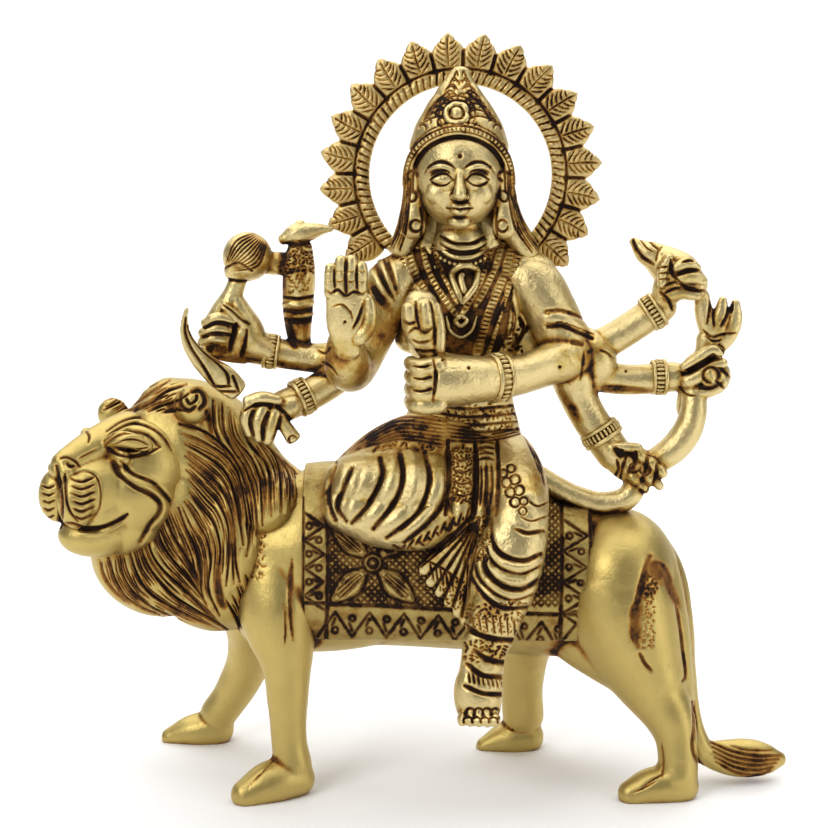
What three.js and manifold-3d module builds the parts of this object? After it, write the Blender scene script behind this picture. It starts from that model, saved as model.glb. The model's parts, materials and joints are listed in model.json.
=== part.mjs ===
// A brass figure of an eight-armed goddess seated on a walking lion, as three castings: the lion with its
// saddle cloth, the goddess with what her hands hold, and the leafed halo behind her head.
// Millimetres, +Z up. The lion walks towards -X and the goddess faces -Y. The origin is on the ground, under the
// middle of the figure.
import * as THREE from "three";
import { mergeVertices } from "three/addons/utils/BufferGeometryUtils.js";
import Module from "manifold-3d";

const wasm = await Module();
wasm.setup();

// Driving dimensions
const FIGURE_HEIGHT = 200; // ground to the highest halo leaf
const CASTING_GAP = 0.3; // left all round where one casting is seated on another
const CLOTH_THICKNESS = 1.7; // saddle cloth, proud of the lion's barrel
const CLOTH_FRONT = -29.5; // the cloth's edge behind the shoulder
const CLOTH_BACK = 47.5; // its edge before the rump
const CLOTH_HEM = 41; // height of its lower edge
const CLOTH_BORDER = 6.6; // width of the border band at the ends
const CLOTH_HEM_BORDER = 8.6; // width of the border band along the hem
const CLOTH_BEAD = 0.55; // half thickness of the lines raised on the cloth
const HALO_RING_INNER = 24.2; // radius of the opening round the head
const HALO_RING_WIDTH = 3.8;
const HALO_RING_DEPTH = 3.2;
const HALO_SWEEP = 150; // degrees that the ring runs down each side from its top
const HALO_LEAVES = 9; // on each side
const HALO_LEAF_PITCH = 15; // degrees from one leaf to the next
const HALO_LEAF_LENGTH = 9.8; // from the ring to a leaf's tip
const HALO_LEAF_DEPTH = 2.4;
const HALO_LEAF_LEAN = 2.4; // degrees that a tip lies further down than its leaf's middle
const HALO_TURN = 1; // degrees that the whole halo is turned clockwise, seen from the front
const BAND_HEIGHT = 4.2; // a bracelet's length along the arm
const BAND_PROUD = 1.1; // how far it stands out from the arm
const BAND_STEP = 0.2; // the length over which its edge rises

// The free forms are written for a figure 200 high and scaled to the height asked for.
const M = FIGURE_HEIGHT / 200;

const BRASS_POLISHED = 0xc9b268;
const BRASS_SATIN = 0xbda55c;
const BRASS_GOLDEN = 0xc99a3c;

// A closed geometry as a solid with its faces pointing out.
function solid(geometry) {
  const bare = geometry.index ? geometry.toNonIndexed() : geometry.clone();
  for (const name of Object.keys(bare.attributes)) {
    if (name !== "position") bare.deleteAttribute(name);
  }
  const merged = mergeVertices(bare, 1e-4);
  const corners = Array.from(merged.index.array);
  const kept = [];
  for (let i = 0; i < corners.length; i += 3) {
    const [a, b, c] = corners.slice(i, i + 3);
    if (a !== b && b !== c && a !== c) kept.push(a, b, c);
  }
  const vertProperties = merged.attributes.position.array;
  const made = (order) => new wasm.Manifold(new wasm.Mesh({
    numProp: 3, vertProperties, triVerts: new Uint32Array(order),
  }));
  const first = made(kept);
  if (first.volume() > 0) return first;
  for (let i = 0; i < kept.length; i += 3) [kept[i + 1], kept[i + 2]] = [kept[i + 2], kept[i + 1]];
  return made(kept);
}

const join = (parts) => parts.flat(9).reduce((whole, part) => whole.add(part));

function asMesh(name, shape, colour) {
  const { vertProperties, triVerts } = shape.getMesh();
  const geometry = new THREE.BufferGeometry()
    .setAttribute("position", new THREE.BufferAttribute(vertProperties.slice(), 3))
    .setIndex(new THREE.BufferAttribute(triVerts.slice(), 1));
  geometry.computeVertexNormals();
  const material = new THREE.MeshStandardMaterial({ color: colour, metalness: 1, roughness: 0.32 });
  const mesh = new THREE.Mesh(geometry, material);
  mesh.name = name;
  return mesh;
}

// A round-ended tube through knots [x, y, z, radius]. Its section lies across the path, with one axis as near
// to `deep` as it can be, and `flat` is its size that way over its width.
function limb(knots, { flat = 1, sides = 7, deep = [0, 1, 0], round = 1 } = {}) {
  const path = new THREE.CatmullRomCurve3(
    knots.map(([x, y, z]) => new THREE.Vector3(x, y, z).multiplyScalar(M)), false, "centripetal");
  const girth = new THREE.CatmullRomCurve3(knots.map((k) => new THREE.Vector3(k[3] * M, 0, 0)));
  const count = knots.length - 1;
  const rings = [];
  const push = (t, shift, share) => rings.push({ t, shift, share });
  if (round) push(0, -0.75 * round, 0.6);
  for (let i = 0; i <= count; i++) push(i / count, 0, 1);
  if (round) push(1, 0.75 * round, 0.6);
  const points = rings.map(({ t, shift, share }) => {
    const centre = path.getPoint(t);
    const along = path.getTangent(t);
    const radius = Math.max(0.15 * M, girth.getPoint(t).x);
    const depth = new THREE.Vector3(...deep);
    depth.addScaledVector(along, -depth.dot(along)).normalize();
    const across = new THREE.Vector3().crossVectors(along, depth);
    centre.addScaledVector(along, shift * radius);
    return Array.from({ length: sides }, (_, i) => {
      const turn = (0.25 + i / sides) * 2 * Math.PI;
      return centre.clone()
        .addScaledVector(across, Math.cos(turn) * radius * share)
        .addScaledVector(depth, Math.sin(turn) * radius * share * flat);
    });
  });
  return skin(points);
}

// The closed solid through rings of points, each ring with as many points, capped at both ends.
function skin(rings) {
  const n = rings[0].length;
  const middle = (ring) => ring.reduce((s, p) => s.add(p), new THREE.Vector3()).divideScalar(n);
  const vertices = [...rings.flat(), middle(rings[0]), middle(rings.at(-1))];
  const first = vertices.length - 2;
  const index = [];
  for (let r = 0; r + 1 < rings.length; r++) {
    for (let i = 0; i < n; i++) {
      const [a, b] = [r * n + i, r * n + ((i + 1) % n)];
      index.push(a, b, b + n, a, b + n, a + n);
    }
  }
  const last = (rings.length - 1) * n;
  for (let i = 0; i < n; i++) {
    const j = (i + 1) % n;
    index.push(first, j, i, first + 1, last + i, last + j);
  }
  return solid(new THREE.BufferGeometry().setFromPoints(vertices).setIndex(index));
}

// An ellipsoid at [x, y, z] with half sizes [x, y, z], turned in plan and then tilted in the front view.
function ball(centre, radii, { plan = 0, tilt = 0, around = 10, down = 6 } = {}) {
  const geometry = new THREE.SphereGeometry(1, around, down);
  geometry.applyMatrix4(new THREE.Matrix4()
    .makeTranslation(...centre.map((v) => v * M))
    .multiply(new THREE.Matrix4().makeRotationY(THREE.MathUtils.degToRad(tilt)))
    .multiply(new THREE.Matrix4().makeRotationZ(THREE.MathUtils.degToRad(plan)))
    .multiply(new THREE.Matrix4().makeScale(...radii.map((v) => v * M))));
  return solid(geometry);
}

// A box from its lowest to its highest corner, in millimetres.
function block(low, high) {
  const size = high.map((v, i) => v - low[i]);
  const geometry = new THREE.BoxGeometry(...size);
  return solid(geometry.translate(...low.map((v, i) => v + size[i] / 2)));
}

// Finds where a line of sight meets a solid, from the front (+1) or from the back (-1).
function surfaceOf(shape) {
  const mesh = asMesh("surface", shape, BRASS_SATIN);
  mesh.updateMatrixWorld();
  const caster = new THREE.Raycaster();
  return (x, z, side) => {
    const far = FIGURE_HEIGHT;
    caster.set(new THREE.Vector3(x * M, -far * side, z * M), new THREE.Vector3(0, side, 0));
    const hit = caster.intersectObject(mesh)[0];
    return hit ? hit.point.y / M : null;
  };
}

// Raised ridges over a surface, each a list of [x, z, radius] as seen from the front (side 1) or through from
// the back (side -1). Points that miss the surface are left out.
function strokes(surface, lines, { side = 1, sink = 0.2 } = {}) {
  return lines.flatMap((line) => {
    const knots = line
      .map(([x, z, r]) => [x, surface(x, z, side), z, r])
      .filter((k) => k[1] !== null)
      .map(([x, y, z, r]) => [x, y + side * sink * r, z, r]);
    return knots.length > 1 ? [limb(knots, { sides: 3, deep: [0, -side, 0], round: 0 })] : [];
  });
}

// Lion

const BARREL = [
  [-47, 0, 58, 19], [-31, 0, 59.2, 24], [-9, 0, 59.6, 24.3], [15, 0, 57.6, 23.6],
  [38, 0, 54, 22], [54, 0, 53, 20.2], [62.5, 0, 51, 14],
];
const BARREL_FLAT = 0.86;

// The barrel, grown by `extra` millimetres all round.
function barrel(extra = 0) {
  const grown = BARREL.map(([x, y, z, r]) => [x, y, z, r + extra / M]);
  return limb(grown, { flat: BARREL_FLAT, sides: 16, round: 0.5 });
}

const NEAR = -1;
const FAR = 1;

// A leg through its knots, with a paw along the ground from heel to toe.
function leg(knots, paw) {
  return [limb(knots, { round: 0.5 }), limb(paw)];
}

function legs() {
  return [
    leg([[-39, -8, 62, 12.8], [-35.8, -14, 46, 10], [-34, -17, 35, 7], [-33.7, -19, 24, 5.4],
      [-33.4, -20, 14.5, 4.8], [-32.4, -20.6, 7, 5.2]],
    [[-31.8, -20.6, 4, 5.4], [-38.4, -23.8, 3.8, 6], [-44.4, -27, 2, 4.4]]),
    leg([[-42, 8, 45, 12], [-45.4, 14, 28.6, 7.3], [-51, 17, 15.5, 5.6], [-56.6, 18.6, 7, 5.1]],
      [[-56.6, 18.6, 3.4, 5.2], [-64, 18.4, 2.4, 4.8], [-69.6, 18, 1, 3]]),
    leg([[54, -7, 54, 17.4], [58.4, -12, 41, 14.4], [64.6, -17, 27.5, 9.2], [69.2, -20.5, 18.5, 6.3],
      [70.4, -22.5, 10.5, 5.4], [70, -23.5, 5, 5.6]],
    [[71, -23.4, 3, 5.2], [63.2, -24.4, 3, 5.2], [58, -25.6, 1.6, 4]]),
    limb([[43, -7, 41, 9], [52.5, -12, 35.4, 7.8], [60.6, -16, 29, 5.6]]),
    leg([[33.6, 6, 46, 13], [31.4, 10, 33, 8.2], [30.4, 12.5, 20, 6.2], [31, 13.5, 8, 5.8]],
      [[31.6, 13.4, 3, 5.4], [25.4, 12.8, 2, 5], [20.4, 12, 0.6, 3]]),
  ];
}

// The tail hugs the back of the near thigh, and its tuft lies out along the ground.
function tail() {
  const stem = limb([[63.5, -1, 66.5, 3.4], [69.5, -4, 58, 3.2], [72.4, -7.5, 45, 3], [73.4, -11, 31, 2.8],
    [75.2, -13.5, 17, 2.8], [78, -14, 9, 3]], { sides: 6 });
  const tuft = limb([[77, -14, 8.6, 3], [84, -13.5, 7, 4.8], [91.5, -12.5, 6.4, 5.4], [98, -11.5, 6.2, 3.8],
    [101.6, -10.5, 6.4, 1]], { sides: 8, flat: 0.8 });
  const surface = surfaceOf(tuft);
  const hairs = [-1, 0, 1].map((row) => [
    [82, 8 + row * 1.2, 0.6], [88, 7 + row * 2.6, 0.9], [94, 6.4 + row * 2.4, 0.8], [99, 6.4 + row * 0.8, 0.5],
  ]);
  return [stem, tuft, strokes(surface, hairs)];
}

// The head looks out of the walk towards the viewer. Its parts are placed by how far they lie forward, to the
// near side and up from the middle of the skull.
const SKULL = [-71.6, -8, 89.2];
const HEAD_TURN = 40; // degrees from the walk towards the viewer

function headPoint(forward, near, up) {
  const turn = THREE.MathUtils.degToRad(HEAD_TURN);
  return [
    SKULL[0] - forward * Math.cos(turn) + near * Math.sin(turn),
    SKULL[1] - forward * Math.sin(turn) - near * Math.cos(turn),
    SKULL[2] + up,
  ];
}

const headKnot = (forward, near, up, radius) => [...headPoint(forward, near, up), radius];
const headBall = (place, radii, options = {}) =>
  ball(headPoint(...place), radii, { plan: HEAD_TURN, around: 8, down: 5, ...options });

function lionHead() {
  const skull = headBall([0, 0, 0], [16, 15.4, 15.8], { around: 10, down: 6 });
  const cheeks = [NEAR, FAR].map((s) => headBall([4.6, -s * 7.8, -7.5], [11.8, 8, 12.6]));
  const muzzle = limb([headKnot(3, 0, -6, 11.8), headKnot(14.6, 0, -6, 10.6), headKnot(22, 0, -6.2, 9.2)],
    { round: 0.5 });
  const bridge = limb([headKnot(7, 0, 9, 5.6), headKnot(15.4, 0, 5.2, 5), headKnot(24, 0, 2.4, 4)],
    { sides: 6 });
  const nose = headBall([25.4, 0, 1.2], [3, 4.8, 2.8], { around: 6, down: 4 });
  const pads = [NEAR, FAR].map((s) => headBall([24, -s * 4.9, -7.4], [5.4, 5, 7.6]));
  const chin = headBall([15, 0, -18], [11.6, 8.8, 6.8]);
  const jaw = headBall([6.5, 0, -16.4], [12, 11.6, 10]);
  const brows = [NEAR, FAR].map((s) => limb([
    headKnot(14.6, -s * 4.2, 7.4, 1.8), headKnot(12.4, -s * 9, 9.6, 2.2), headKnot(6.4, -s * 12.8, 8, 1.6),
  ], { sides: 4, round: 0 }));
  const eyes = [NEAR, FAR].map((s) => headBall([12.2, -s * 8.6, 4.6], [2.4, 3.4, 2], { around: 6, down: 3 }));
  const ears = [headPoint(-7.2, 12.6, 15.4), headPoint(0.6, -14, 9.8)].map((place) =>
    ball(place, [4.2, 3.4, 4.4], { around: 6, down: 4 }));
  return [skull, cheeks, muzzle, bridge, nose, pads, chin, jaw, brows, eyes, ears];
}

// The mane's bulk, from round the face down the chest and back over the withers.
function maneBulk() {
  return join([
    limb([[-69, 1, 94, 16.4], [-59, 1, 89, 18.2], [-47, 1, 76.4, 16], [-39, 0, 69, 16]],
      { sides: 12, round: 0.7 }),
    ball([-60, -1, 71], [21, 19, 27], { around: 12, down: 7 }),
    ball([-69, -4, 61], [18.6, 17, 16], { tilt: 20, around: 10, down: 7 }),
    ball([-54, -1, 54], [17, 18, 14], { tilt: 12, around: 10, down: 7 }),
  ]);
}

// Locks of the mane on one side. Each lane runs from the rim of the face to the mane's edge, as seen from the
// front, and carries two locks that overlap.
const MANE_RIM = [[-70, 107], [-58, 104], [-52, 95], [-53, 85], [-58, 76], [-65, 67], [-80, 59]];
const MANE_EDGE = [[-50, 102], [-40, 92], [-35, 76], [-40, 54], [-46, 42], [-56, 41], [-72, 45]];

const flatCurve = (points) => new THREE.SplineCurve(points.map(([x, z]) => new THREE.Vector2(x, z)));

function maneLocks(surface, side, lanes) {
  const [rim, edge] = [flatCurve(MANE_RIM), flatCurve(MANE_EDGE)];
  const lines = Array.from({ length: lanes }, (_, lane) => {
    const share = (lane + 0.3) / lanes;
    const [from, to] = [rim.getPoint(share), edge.getPoint(Math.min(1, share * 1.04))];
    const way = to.clone().sub(from);
    const across = new THREE.Vector2(way.y, -way.x).normalize();
    const sway = way.length() * 0.09;
    return [[0, 0.58], [0.5, 1]].map(([start, end]) => [0, 0.5, 1].map((t) => {
      const along = start + (end - start) * t;
      const point = from.clone().addScaledVector(way, along)
        .addScaledVector(across, sway * Math.sin(2 * Math.PI * along) + (start ? 1.2 : -1.2));
      return [point.x, point.y, [1.2, 2.2, 0.6][t * 2]];
    }));
  }).flat();
  return strokes(surface, lines, { side, sink: 0.3 });
}

// Saddle cloth

// The cloth: the barrel's own form grown by the cloth's thickness, cut straight along its hem and ends.
function saddleCloth(extra = 0) {
  const wide = FIGURE_HEIGHT;
  const cut = block(
    [CLOTH_FRONT * M - extra, -wide, CLOTH_HEM * M - extra],
    [CLOTH_BACK * M + extra, wide, wide],
  );
  return barrel(CLOTH_THICKNESS + extra).intersect(cut);
}

// Raised lines of the cloth: the inner edge of its border on both sides, and a four-petalled flower on the
// near side.
function clothPattern(surface) {
  const [left, right] = [CLOTH_FRONT + CLOTH_BORDER, CLOTH_BACK - CLOTH_BORDER];
  const [hem, top] = [CLOTH_HEM + CLOTH_HEM_BORDER, CLOTH_HEM + 36];
  const line = (points) => points.map(([x, z]) => [x, z, CLOTH_BEAD]);
  const frame = [line([[left, top], [left, hem], [(left + right) / 2, hem], [right, hem], [right, top]])];
  const flower = [-10, 61];
  const petals = [45, 135, 225, 315].map((angle) => {
    const a = THREE.MathUtils.degToRad(angle);
    const at = (r, w) => [flower[0] + 1.15 * r * Math.cos(a + w), flower[1] + r * Math.sin(a + w)];
    return line([at(2, 0), at(6.5, 0.42), at(11, 0), at(6.5, -0.42), at(2.2, -0.1)]);
  });
  return [
    strokes(surface, [...frame, ...petals]),
    strokes(surface, frame, { side: -1 }),
  ];
}

function lion() {
  const cloth = saddleCloth();
  const clothSurface = surfaceOf(cloth);
  const bulk = maneBulk();
  const maneSurface = surfaceOf(bulk);
  const chest = limb([[-44, -3, 50, 16], [-27, -3, 48.6, 16.6], [-10, -3, 54, 17]], { round: 0.5 });
  const body = join([
    barrel(), chest, legs(), tail(), bulk, lionHead(),
    maneLocks(maneSurface, 1, 9), maneLocks(maneSurface, -1, 6),
  ]);
  const dressed = join([body, cloth, clothPattern(clothSurface)]);
  const below = block([-FIGURE_HEIGHT, -FIGURE_HEIGHT, -FIGURE_HEIGHT], [FIGURE_HEIGHT, FIGURE_HEIGHT, 0]);
  return dressed.subtract(below);
}

// Goddess

// A tube that runs through knots [x, y, z, radius] and wears a band round it, on the stretch that starts at
// knot `after`, a `share` of the way along.
function banded(knots, { after, share = 0.5, height = BAND_HEIGHT, ...options }) {
  const [from, to] = [knots[after], knots[after + 1]];
  const length = Math.hypot(...from.slice(0, 3).map((v, i) => to[i] - v));
  const half = height / M / 2 / length;
  const step = (at, extra) => from.map((v, i) => v + (to[i] - v) * at + (i === 3 ? extra : 0));
  const [thin, proud] = [BAND_STEP / M / length, BAND_PROUD / M];
  const ring = [step(share - half - thin, 0), step(share - half, proud), step(share + half, proud),
    step(share + half + thin, 0)];
  return limb([...knots.slice(0, after + 1), ...ring, ...knots.slice(after + 1)], options);
}

// A closed hand round a shaft that lies at `grip` degrees in the front view: four fingers side by side.
function fist(centre, size, grip) {
  const a = THREE.MathUtils.degToRad(grip);
  const rolls = [[-1, 0.55], [-0.72, 0.95], [-0.48, 0.8], [-0.24, 1], [0, 0.82], [0.24, 1], [0.48, 0.8],
    [0.72, 0.95], [1, 0.55]];
  return limb(rolls.map(([along, wide]) => [
    centre[0] + size * along * Math.cos(a), centre[1], centre[2] + size * along * Math.sin(a), size * wide,
  ]), { sides: 6, round: 0, flat: 0.95 });
}

function torso() {
  const trunk = limb([[12, 3, 84, 21], [12.6, 3, 92, 17.4], [13, 2.5, 99, 14.8], [13.2, 2, 106, 13.2],
    [13.4, 1, 113, 13.4], [13, 0, 123, 16], [12.6, 1, 133, 16.2], [12.2, 2, 140, 9]],
  { flat: 0.66, sides: 12, round: 0.5 });
  const shoulders = limb([[-5, 2, 135, 6.8], [3, 2.5, 139, 6.8], [21, 2.5, 139, 7], [31, 2, 135.5, 7.6]],
    { sides: 8, flat: 0.84 });
  const breasts = [5.6, 20].map((x) => ball([x, -7, 126.5], [6.6, 6, 6.6], { around: 8, down: 5 }));
  const neck = limb([[12, 0.5, 136, 7], [11.8, -1, 151, 6]], { round: 0 });
  const collar = limb([[12, -1.5, 143.4, 7.6], [12, -1.7, 145, 7.4]], { round: 0 });
  const shawl = [
    limb([[25, 3, 130, 7], [28.6, 2.5, 121, 6], [32, 1.5, 115, 5]], { sides: 6 }),
    limb([[0.6, 3, 128, 6], [-1, 2.5, 120, 4.4]], { sides: 6 }),
  ];
  return [trunk, shoulders, breasts, neck, collar, shawl];
}

// Head on plain proportions: eyes at half height, nose and mouth below.
const FACE = { x: 11.7, y: -3.5, z: 163, half: 11 };

function head() {
  const { x, y, z, half } = FACE;
  const at = (dx, dy, dz) => [x + dx * half, y + dy * half, z + dz * half];
  const skull = ball(at(0, 0.05, 0.1), [half * 0.98, half * 0.95, half * 1.16], { around: 12 });
  const jaw = ball(at(0, -0.1, -0.5), [half * 0.76, half * 0.78, half * 0.74], { down: 5 });
  const nose = limb([[...at(0, -0.86, 0.2), 0.9], [...at(0, -1.1, -0.3), 1.6]], { sides: 5 });
  const lips = limb([
    [...at(-0.22, -0.84, -0.6), 0.7], [...at(0, -0.92, -0.6), 1.2], [...at(0.22, -0.84, -0.6), 0.7],
  ], { sides: 4, deep: [0, 0, 1], round: 0 });
  const eyes = [-1, 1].map((s) => ball(at(s * 0.42, -0.74, 0.06), [2.6, 1.6, 1.5], { around: 6, down: 3 }));
  const brows = [-1, 1].map((s) => limb([
    [...at(s * 0.14, -0.86, 0.3), 0.6], [...at(s * 0.45, -0.82, 0.42), 0.7], [...at(s * 0.8, -0.6, 0.22), 0.5],
  ], { sides: 4, round: 0 }));
  const ears = [-1, 1].map((s) => ball([x + s * 11.6, y + 1.5, z], [2.4, 3, 6], { around: 6, down: 4 }));
  const earrings = [-1, 1].map((s) =>
    limb([[x + s * 11.6, y, 158.4, 1.8], [x + s * 12, y - 2, 149.8, 3.4]], { sides: 5, flat: 0.7 }));
  return [skull, jaw, nose, lips, eyes, brows, ears, earrings];
}

// The crown is a tall pointed cap over a beaded band, with a round boss in front.
function crown() {
  const profile = [[0, -2], [12.4, -2], [12.8, 0.6], [12, 3], [10.8, 7], [8.2, 13], [4.6, 18.5], [1.9, 21.2],
    [0, 21.6]];
  const cap = new THREE.LatheGeometry(profile.map(([r, h]) => new THREE.Vector2(r * M, h * M)), 10);
  cap.rotateX(Math.PI / 2);
  cap.translate(FACE.x * M, -1.6 * M, 170.6 * M);
  const boss = limb([[11.4, -12, 180, 3], [11.4, -14.4, 180.4, 2.8]],
    { sides: 8, deep: [0, 0, 1], round: 0.3 });
  const hair = [
    limb([[11.8, 4, 172, 11.6], [11.8, 5, 160, 11.8], [12, 5, 149, 12.6], [12, 5, 139, 15.4]],
      { flat: 0.55, sides: 10, round: 0.5 }),
    limb([[22.6, 1, 162, 3.4], [24.8, 1, 152, 3.8], [29.8, 1, 143.5, 3.4]], { sides: 6 }),
    limb([[0.8, 1, 162, 3.4], [-0.4, 1, 152, 3.6], [-3.2, 1, 144, 3.2]], { sides: 6 }),
  ];
  return [solid(cap), boss, hair];
}

// Strands over the chest: the long garlands, the pendant and its drop.
function garlands(surface) {
  const lines = [
    [[1.5, 142, 1], [4, 133, 1.1], [8.5, 126, 1.1], [11.8, 121.6, 1]],
    [[-2.5, 141, 1.3], [-0.6, 132, 1.3], [3.6, 126, 1.2]],
    [[21.5, 142, 1], [19.5, 133, 1.1], [15.6, 126, 1.1], [12.2, 121.6, 1]],
    [[25, 142, 1.3], [23.6, 132, 1.4], [19.6, 121, 1.3], [16.4, 113, 1.1]],
  ];
  const pendant = [[[12, 135.4, 2], [12.2, 130.6, 1.2]], [[12, 120.6, 1.2], [12, 117.6, 1]]];
  return strokes(surface, [...lines, ...pendant]);
}

// Her right hand, lifted with the palm to the viewer.
function openHand() {
  const palm = limb([[-16.7, -23.5, 124, 6.2], [-16.6, -25, 130, 6.8], [-16.8, -25.4, 136, 6.2]],
    { sides: 8, flat: 0.5, round: 0.5 });
  const fingers = [-4.6, -1.6, 1.5, 4.4].map((dx, i) => limb([
    [-16.8 + dx, -25.6, 136, 1.8], [-16.8 + dx, -26.2, 140, 1.8],
    [-16.8 + dx * 0.86, -25.8, [144, 146.4, 146, 143.4][i], 1],
  ], { sides: 5, round: 0 }));
  const thumb = limb([[-12, -25.4, 127, 2.2], [-10.9, -26.6, 132, 1.9], [-11, -26.8, 137, 1]],
    { sides: 5, round: 0 });
  return [palm, fingers, thumb];
}

function rightArms() {
  return [
    limb([[-5.4, 1.5, 135, 7.2], [-9.2, 0, 127, 6.8], [-14.4, -2, 118.8, 6.8]]),
    limb([[-14.6, -4, 117, 6.4], [-16.2, -14, 117.8, 6.6], [-16.7, -22, 123, 6]],
      { sides: 8, deep: [0, 0, 1] }),
    openHand(),
    banded([[-18, 0, 114.4, 5], [-27.8, 1, 114.6, 4.4], [-45, 0.5, 117.8, 4.4]], { after: 1, share: 0.66 }),
    fist([-49.2, 0, 119.8], 7, 62),
    banded([[-18, 0, 112.6, 5], [-24.2, -3.5, 107.6, 4.4], [-37, -8.5, 102, 4.4]], { after: 1, share: 0.5 }),
    fist([-40, -10, 101.4], 6.4, -43),
    banded([[-19.4, 2, 115, 5], [-28, 4, 119, 4.7], [-31, 3.5, 135, 4.7]], { after: 1, share: 0.5 }),
    fist([-31, 3, 138], 5.8, 90),
  ];
}

function leftArms() {
  return [
    banded([[30.5, 1.5, 135.5, 7.8], [35.6, 0, 128, 7.2], [39.6, -1, 120, 6.6], [41.2, -1, 115, 6.2]],
      { after: 1, share: 0.4 }),
    banded([[41.6, -3, 116, 6], [33.6, -9.5, 114, 5.2], [26, -15, 112.6, 5.2], [15, -20.5, 112.8, 6.2],
      [7.6, -22.5, 112.8, 6.8]], { after: 2, share: 0.4 }),
    [-5, -1.7, 1.7, 5].map((dz) => limb([
      [6, -26, 112.4 + dz, 2.4], [1.6, -26.6, 112.2 + dz, 2.2], [-0.8, -20, 112 + dz, 2],
    ], { sides: 5, round: 0 })),
    banded([[42, 0.5, 115, 5.8], [50, 2, 117.8, 4.4], [69, 3, 129.6, 4.8]], { after: 1, share: 0.76 }),
    fist([71.2, 3, 131.6], 6.6, -50),
    banded([[43, 0.5, 113, 5.4], [53.5, 2, 108.8, 4.2], [72, 3, 108.8, 4.6]], { after: 1, share: 0.7 }),
    fist([76.6, 3, 110.4], 7.4, 72),
    banded([[42, -0.5, 112.4, 6.4], [44.6, -1, 103, 5], [55, -3, 87.4, 5]], { after: 1, share: 0.5 }),
    fist([58, -3, 84.8], 6.6, 38),
  ];
}

function mace() {
  return [
    limb([[-54.2, 0, 112.6, 2.6], [-49.8, 0, 124.5, 3.3], [-47, 0, 131, 3.1], [-45.8, 0, 136, 3.8]],
      { round: 0.4 }),
    ball([-43.8, 0, 141.6], [6.6, 6.6, 6.6]),
    limb([[-39, 1.5, 140, 3], [-33.5, 2.5, 139.6, 3]], { sides: 5, round: 0 }),
  ];
}

// The curved sword: a blade with a ridge along each face, thin at both edges.
function sword() {
  const spine = [[-45.4, 104.6, 3.2], [-50.5, 108.9, 4.6], [-55.4, 113.5, 4.3], [-59.3, 117.8, 3.4],
    [-60.7, 122.8, 2.1], [-59.6, 129.4, 0.4]];
  const blade = limb(spine.map(([x, z, r]) => [x, -10, z, r]), { flat: 0.36, sides: 6, round: 0 });
  const hilt = limb([[-43, -10, 103.4, 2.4], [-36, -11, 97.6, 2.2], [-32, -12, 94.6, 2.2]], { sides: 6 });
  return [blade, hilt];
}

function axe() {
  return [
    limb([[-30.9, 3, 134, 2], [-30.2, 3, 146, 2.4], [-29.7, 3, 150.2, 1.7]], { sides: 6 }),
    limb([[-35.6, 3, 145.4, 1.8], [-31, 3, 146.6, 3.2], [-26, 3, 147.2, 2.8], [-22, 3, 148.4, 1.4]],
      { sides: 8, flat: 0.8 }),
  ];
}

function conch() {
  return limb([[57.4, 2, 146.2, 1.6], [61.4, 2, 143.8, 3.6], [64.6, 2, 141.4, 4], [68.6, 2, 137.6, 6.4],
    [72.4, 1, 133.6, 6], [76, 2, 129.2, 3.2]], { sides: 8, flat: 0.8 });
}

function trident() {
  const prong = (knots) => limb(knots, { sides: 5, round: 0 });
  return [
    prong([[77.2, 3, 104, 2], [78.2, 3.5, 119, 2.6]]),
    prong([[78.6, 3.5, 118, 3.2], [75.8, 3.5, 123, 2.2], [74.4, 3.5, 128, 2.2], [73.4, 3.2, 132, 2]]),
    prong([[78.8, 3.5, 118, 3.2], [79.6, 3.5, 125, 2.4], [78.6, 3.5, 130.4, 0.9]]),
    prong([[79.4, 3.5, 118, 3.2], [83.2, 3.5, 123, 2.2], [82.8, 3.5, 130.6, 0.8]]),
    prong([[80, 3.5, 118.6, 3], [85.2, 3.5, 122, 2], [86.8, 3.5, 127, 1.5], [85.8, 3.5, 130.2, 0.8]]),
  ];
}

// The bow, from her hip through the lowest hand and round under the trident's hand.
function bow() {
  return [
    limb([[33, -4, 83.4, 3], [37.6, -4.5, 80.8, 2.9], [43.6, -5, 77.8, 3], [51.4, -5, 75.8, 3.3],
      [57.6, -5, 78, 3.2], [59.6, -4, 82, 3]], { round: 0.5 }),
    limb([[59.6, -3, 84, 3.4], [65.4, -3, 87.4, 3.6], [71.4, -2, 92.4, 4], [74.6, -1, 99, 3.7],
      [75, 1, 106, 3.2]], { round: 0.5 }),
  ];
}

// The bud that the front left hand holds up.
function bud() {
  return limb([[5, -21, 117.6, 3.6], [3.4, -21, 123, 5], [2.2, -21, 129, 5.4], [1.5, -20.5, 133.4, 3.6]],
    { sides: 10, flat: 0.85, round: 0.7 });
}

// Her right leg is folded across the saddle, and the left one hangs down the lion's near side.
function lap() {
  const deep = [0, 0, 1];
  return [
    limb([[9, 0, 86, 15], [-3, -5, 85.4, 13.4], [-13.6, -12, 81.4, 11]], { sides: 10, deep }),
    limb([[-17, -17, 77.6, 6.6], [-6.5, -22, 74, 6.4], [4.5, -21.5, 73, 5.8], [12.4, -18, 75, 4.4]], { deep }),
    limb([[21.5, -1, 84.6, 12], [25.6, -14, 82.6, 9.8], [27.4, -22, 79.4, 8]], { sides: 9, deep }),
    banded([[27.4, -24, 77.6, 7.6], [25.6, -28.5, 66.6, 7.8], [22.6, -30.5, 57, 7.2], [19.4, -31.2, 46, 6]],
      { after: 2, share: 0.7, sides: 9, flat: 0.9 }),
    limb([[12.4, -14, 90, 3.4], [12.6, -20, 83, 3], [11.8, -23, 74, 2.8]], { sides: 5 }),
    limb([[17.6, -13, 90, 2.4], [18, -20, 83, 2.2], [17, -23, 74, 2]], { sides: 5 }),
  ];
}

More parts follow.
